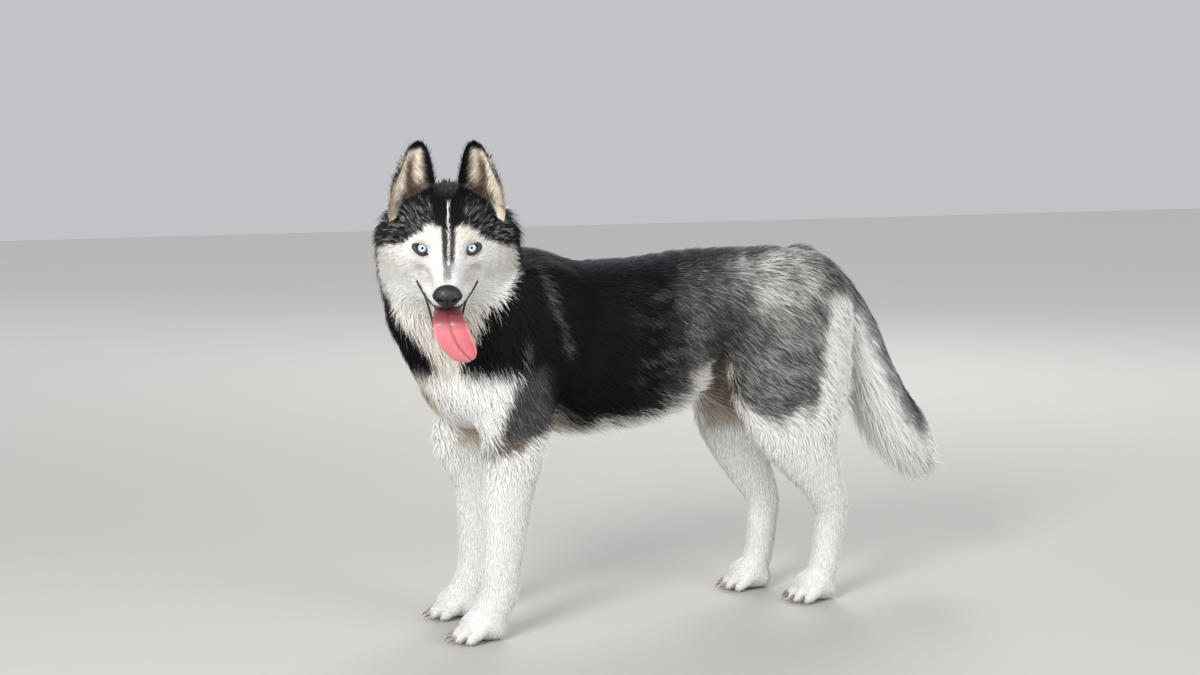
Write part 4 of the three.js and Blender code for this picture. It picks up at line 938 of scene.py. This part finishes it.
def lie_of(p, n, h, of_head, of_tail):
    """The way the hair lies: back and down the trunk, down the legs, away from the nose, along the tail."""
    x, y, z = p.T
    fall = 0.22 + 0.5 * step(20, 80, np.abs(x)) * step(300, 380, z) + 0.5 * step(240, 300, y)
    flow = np.stack([0 * x, 0.95 + 0 * x, -fall], 1)
    low = 1 - step(255, 345, z)
    flow = flow + (np.array([0, 0.14, -1]) - flow) * low[:, None]
    fore = (1 - step(-225, -150, y)) * step(300, 340, z)
    flow = flow + (np.stack([0.2 * np.sign(x), 0.35 + 0 * x, -0.95 + 0 * x], 1) - flow) * fore[:, None]
    toes = 1 - step(20, 60, z)
    flow = flow + (np.array([0, -0.8, -0.6]) - flow) * toes[:, None]
    tail_way = np.stack([0 * x, 0.52 + 0 * x, -0.85 + 0 * x], 1)
    flow = flow + (tail_way - flow) * of_tail[:, None]
    from_nose = h - np.array([0, -84, -20])
    away = from_nose / np.maximum(np.linalg.norm(from_nose, axis=1), 1)[:, None]
    cheek = step(50, 80, np.abs(h[:, 0]))
    droop = 0.45 * step(20, 60, h[:, 1]) * (1 - step(10, 50, h[:, 2])) + 1.1 * cheek
    away = away + np.stack([0 * x, 0.3 + 0.8 * cheek, -droop], 1)
    flow = flow + (away @ HEAD_TURN.T - flow) * of_head[:, None]
    flow = flow - (flow * n).sum(1)[:, None] * n
    return flow / np.maximum(np.linalg.norm(flow, axis=1), 1e-6)[:, None]


def sizes_of(p, n, h, of_head, of_tail):
    """Length, full width and lift of the hair in millimetres, and how close it stands, at each place."""
    x, y, z = p.T
    low = 1 - step(215, 330, z)
    foot = 1 - step(15, 60, z)
    length = np.full(len(p), TRUNK_HAIR)
    under = step(0.25, 0.8, -n[:, 2]) * step(300, 325, z) * step(-190, -140, y) * (1 - step(60, 120, y))
    chest = (1 - step(-240, -150, y)) * step(360, 420, z)
    behind = step(0.3, 0.8, n[:, 1]) * step(200, 260, y) * step(230, 280, z)
    length += CHEST_MORE * chest + BELLY_MORE * under + BREECHES_MORE * behind
    length += (LEG_HAIR - length) * low
    length += (FOOT_HAIR - length) * foot
    lift = 8.0 - 5.6 * low - 1.0 * foot + 5 * chest + 26 * under
    below = step(0.1, 0.8, -(n @ TAIL_TOP))
    plume = (TAIL_HAIR + PLUME_MORE * below) * (1 - 0.45 * step(470, 530, y))
    length += (plume - length) * of_tail
    lift += (9 + 30 * below - lift) * of_tail
    muzzle = 1 - step(-40, 20, h[:, 1])
    cheek = step(35, 80, h[:, 1])
    face = FACE_HAIR - 5 * muzzle + 17 * cheek * (1 - step(10, 40, h[:, 2])) + 4 * step(30, 60, h[:, 2])
    length += (face - length) * of_head
    wing = step(62, 84, np.abs(h[:, 0])) * step(-10, 20, h[:, 2])
    crown = step(24, 50, h[:, 2]) * step(0, 25, h[:, 1])
    lift += (1.6 + 2.2 * (1 - muzzle) + 5 * cheek * (1 - wing) + 6 * crown - lift) * of_head
    wide = 1.7 - 0.45 * low + 0.4 * of_tail
    wide += (0.9 + 0.4 * cheek - wide) * of_head
    dense = 1 + 0.5 * low
    dense += (3.2 - 1.8 * cheek - dense) * of_head
    return length, wide, lift, dense


RINGS = np.array([0.0, 0.5])  # where along a blade its two rings stand
RING_WIDTH = np.array([0.9, 0.85])  # of the hair's full width
ROOT = 1.0  # how deep the root is sunk


def blades(roots, normals, lie, length, width, lift, draw):
    """Three-sided blades. Along a blade s runs from 0 to 1: it goes s times its length along the lie,
    rises by lift times (2s - s*s), and swings sideways by a bend times s*s. It has two rings and a point.
    Its upper sides are shaded mostly as the skin below, so that the coat shows the body's roundness."""
    count = len(roots)
    across = np.cross(lie, normals)
    bend = draw.normal(0, 0.10, count) * length
    s = np.append(RINGS, 1.0)
    rise = (lift[:, None] + ROOT) * (2 * s - s * s) - ROOT
    line = roots[:, None] + lie[:, None] * (length[:, None] * s)[..., None]
    line += normals[:, None] * rise[..., None] + across[:, None] * (bend[:, None] * s * s)[..., None]
    half = width[:, None] * RING_WIDTH / 2
    ring = line[:, :2]
    left = ring - across[:, None] * half[..., None]
    right = ring + across[:, None] * half[..., None]
    ridge = ring + normals[:, None] * (half * 0.7)[..., None]
    points = np.concatenate([np.stack([left, right, ridge], 2).reshape(count, 6, 3), line[:, 2:]], 1)
    faces = [[0, 1, 2]]
    for a, b in ((0, 1), (1, 2), (2, 0)):
        faces += [[a, b + 3, b], [a, a + 3, b + 3], [a + 3, 6, b + 3]]
    numbered = (np.arange(count)[:, None, None] * 7 + np.array(faces)).reshape(-1, 3)
    leant = np.array([-0.6, 0.6, 0, -0.6, 0.6, 0, 0])[None, :, None] * across[:, None]
    shading = (normals[:, None] + leant + lie[:, None] * 0.2)[:, np.array(faces)]
    shading[:, :4] = -normals[:, None, None]
    return points, numbered, shading / np.linalg.norm(shading, axis=3)[..., None]


def spread_on(points, tris, table, weight, count, draw):
    """Random places on a mesh, as many on each face as its area times its weight asks for, and there the
    mean of the table's rows at the face's corners."""
    a, b, c = (points[tris[:, i]] for i in range(3))
    area = np.linalg.norm(np.cross(b - a, c - a), axis=1) * weight[tris].mean(1)
    reached = np.cumsum(area) / area.sum()
    chosen = np.searchsorted(reached, (np.arange(count) + draw.random(count)) / count)
    chosen = np.minimum(chosen, len(tris) - 1)
    u, v = draw.random((2, count))
    flip = u + v > 1
    u, v = np.where(flip, 1 - u, u), np.where(flip, 1 - v, v)
    mixed = np.stack([1 - u - v, u, v], 1)[..., None]
    corners = tris[chosen]
    return (points[corners] * mixed).sum(1), (table[corners] * mixed).sum(1)


def tuft_piece(name, roots, normals, lie, length, width, lift, unwrap, colours, draw):
    """One piece of coat, each tuft a little longer, wider or turned otherwise than the next, and darker at
    its root. Its patch in the map lies where its root unwraps to."""
    count = len(roots)
    length = length * draw.uniform(0.72, 1.2, count)
    lift = lift * draw.uniform(0.45, 1.1, count)
    lie = lie + draw.normal(0, 0.09, (count, 3))
    lie -= (lie * normals).sum(1)[:, None] * normals
    lie /= np.linalg.norm(lie, axis=1)[:, None]
    width = width * draw.uniform(0.7, 1.25, count)
    points, faces, shading = blades(roots, normals, lie, length, width, lift, draw)
    points[..., 2] = np.maximum(points[..., 2], 0.3)
    piece = mesh_piece(name, points.reshape(-1, 3), faces, coat_finish)
    piece.data.normals_split_custom_set(shading.reshape(-1, 3))
    tone = draw.normal(1.0, 0.07, count)[:, None, None]
    along = np.repeat([0.0, 0.5, 1.0], [3, 3, 1])[None, :, None]
    shaded = colours[:, None] * tone * (0.80 + 0.28 * along)
    paint(piece, np.clip(shaded, 0, 1).reshape(-1, 3))
    spread = np.array([[-1, -1], [1, -1], [0, -1], [-1, 0.2], [1, 0.2], [0, 0.2], [0, 1]]) * PATCH / 2
    corners = np.clip(unwrap[:, None] * 0.99 + 0.005 + spread, 0, 1).reshape(-1, 2)
    layer = piece.data.uv_layers.new(name="OFBake")
    layer.uv.foreach_set("vector", corners[faces.reshape(-1)].astype(np.float32).ravel())
    return piece


def unwrapped(p, part):
    """The skin's own unwrap: the angle about each part's middle line, and the way along it, both from
    0 to 1."""
    x, y, z = p.T
    circle = 2 * math.pi
    trunk = np.stack([np.arctan2(x, z - 440) / circle + 0.5, (y + 420) / 800], 1)
    centre = np.array([[FORE_PAW["left"][0], -225], [FORE_PAW["right"][0], -225], [60, 260], [-60, 240]])
    which = np.clip(part - 5, 0, 3)
    turned = np.arctan2(x - centre[which, 0], y - centre[which, 1]) / circle + 0.5
    leg = np.stack([turned, z / 345], 1)
    off = p - np.array([0, 430, 400])
    tail = np.stack([np.arctan2(x, off @ TAIL_TOP) / circle + 0.5, (off @ TAIL_WAY + 210) / 440], 1)
    h = to_head(p) - [0, 20, -20]
    height = np.arctan2(h[:, 2], np.hypot(h[:, 0], h[:, 1])) / math.pi + 0.5
    face = np.stack([np.arctan2(h[:, 0], -h[:, 1]) / circle + 0.5, height], 1)
    made = np.where((part >= 5)[:, None], leg, trunk)
    made = np.where((part == 9)[:, None], tail, made)
    return np.clip(np.where((part == 0)[:, None], face, made), 0, 1)


draw = np.random.default_rng(11)  # seeded, so that every run draws the same coat
skin_tris = np.vstack([skin_quads[:, [0, 1, 2]], skin_quads[:, [0, 2, 3]]])
skin_facts = nearness(skin_points)
skin_part = part_of(skin_points, *skin_facts[1:])
skin_dense = sizes_of(skin_points, skin_normals, *skin_facts)[3]
h_skin = skin_facts[0]
mirrored = np.abs(h_skin) * [1, 0, 0] + h_skin * [0, 1, 1]
eye_gap = np.linalg.norm((mirrored - [34, -8, 0]) / [1.12, 1, 0.85], axis=1)
nose_gap = np.linalg.norm((h_skin - [0, -86, -33]) / [19, 17, 15], axis=1)
# No hair grows over the eyes, the nose, the mouth or the soles
bare = (eye_gap < 12.5) | (nose_gap < 1.0) | (in_mouth > 0.3) | (skin_points[:, 2] < 1.5)
skin_dense = np.where(bare, 0.0, skin_dense)
for number, (name, count) in enumerate(TUFTS.items()):
    count = count
    weight = skin_dense * (skin_part == number)
    roots, normals = spread_on(skin_points, skin_tris, skin_normals, weight, count, draw)
    normals /= np.linalg.norm(normals, axis=1)[:, None]
    facts = nearness(roots)
    length, width, lift, _ = sizes_of(roots, normals, *facts)
    lie = lie_of(roots, normals, *facts)
    scatter = draw.normal(0, 2.5, roots.shape) * (1 - 0.7 * facts[1])[:, None]
    colours = marked(roots + lie * (length * 0.3)[:, None] + scatter, normals)
    # Where the coat is grey, single hairs are paler or blacker than the rest
    brightness = colours.mean(1)
    grizzled = step(0.03, 0.12, brightness) * (1 - step(0.45, 0.75, brightness))
    salt = draw.random(count)
    colours = blend(colours, PALE * 1.1, grizzled * (salt < 0.30) * 0.30)
    colours = blend(colours, BLACK, grizzled * (salt > 0.66) * 0.42)
    uv = unwrapped(roots, np.full(count, number))
    tuft_piece(name, roots, normals, lie, length, width, lift, uv, colours, draw)

# Hair of the ears: black and close on the back and along the edges, cream and longer inside, swept up and
# out. It is the same kind of tuft, rooted in the ears' own surface and coloured as the skin under it.
for side, sign in (("left", -1), ("right", 1)):
    points, faces, colours, of_back, q_all, s_all = ears[side]
    count = 4800
    facing = np.cross(points[faces[:, 1]] - points[faces[:, 0]], points[faces[:, 2]] - points[faces[:, 0]])
    summed = np.zeros_like(points)
    for corner in range(3):
        np.add.at(summed, faces[:, corner], facing)
    summed /= np.maximum(np.linalg.norm(summed, axis=1), 1e-9)[:, None]
    table = np.hstack([summed, colours, of_back[:, None], q_all[:, None], s_all[:, None]])
    sparse = (of_back == 0) & (np.abs(q_all) < 0.3)
    weight = (s_all > 0.0) * (1 + 0.6 * (1 - of_back)) * np.where(sparse, 0.5, 1)
    roots, mixed = spread_on(points, faces, table, weight, count, draw)
    normals = mixed[:, :3] / np.maximum(np.linalg.norm(mixed[:, :3], axis=1), 1e-9)[:, None]
    inward, across, along = 1 - mixed[:, 6], mixed[:, 7], mixed[:, 8]
    length = 7.5 + 11 * inward * (1 - step(0.5, 0.9, along)) * (1 - step(0.7, 0.9, np.abs(across)))
    sweep = np.stack([sign * -0.55 * inward, np.full(count, 0.3), np.full(count, 0.9)], 1)
    lie = sweep - (sweep * normals).sum(1)[:, None] * normals
    lie /= np.linalg.norm(lie, axis=1)[:, None]
    spot = 0.25 + 0.5 * (side == "left") + 0.2 * across * (0.5 + 0.5 * inward)
    ear_map = np.stack([spot, np.clip(along, 0, 1)], 1)
    turned_lie, turned_up = lie @ HEAD_TURN.T, normals @ HEAD_TURN.T
    lift = 1.4 + 4.0 * inward
    shown = mixed[:, 3:6] * (1 + 0.35 * draw.normal(0, 1, (count, 1)) * inward[:, None]).clip(0.3, 1.7)
    roots, width = from_head(roots), np.full(count, 1.0)
    tuft_piece("coat_ear_" + side, roots, turned_up, turned_lie, length, width, lift, ear_map, shown, draw)

# Whiskers: stiff dark hairs in three rows on both sides of the muzzle, each a single thin curved spike
# whose root is sunk in the lip.
whisker_finish = Finish("whisker_hair", Roughness=0.4, Specular_IOR_Level=0.4)
whisker_tone = whisker_finish.noise(300.0)
whisker_finish.feed("Base Color", whisker_finish.shade((0.10, 0.09, 0.085), whisker_tone, 0.4, 1.6))
rows = [(side, y, z) for side in (-1, 1) for y in (-44, -52, -60, -67) for z in (-46, -51.5, -57)]
rows = np.array(rows, float)
roots = rows * [13.5, 1, 1] + rows[:, :1] * [1, 0, 0] * (rows[:, 1:2] + 67) * 0.28
normals = np.tile([0.0, -0.25, 0.97], (len(rows), 1))
lie = np.stack([rows[:, 0] * 0.9, 0.25 + 0 * rows[:, 0], -0.25 + (rows[:, 2] + 51) * 0.04], 1)
lie -= (lie * normals).sum(1)[:, None] * normals
lie /= np.linalg.norm(lie, axis=1)[:, None]
size = draw.uniform(26, 44, len(rows))
points, faces, _ = blades(roots, normals, lie, size, np.full(len(rows), 0.45), -0.1 * size, draw)
mesh_piece("whiskers", from_head(points.reshape(-1, 3)), faces, whisker_finish, ())
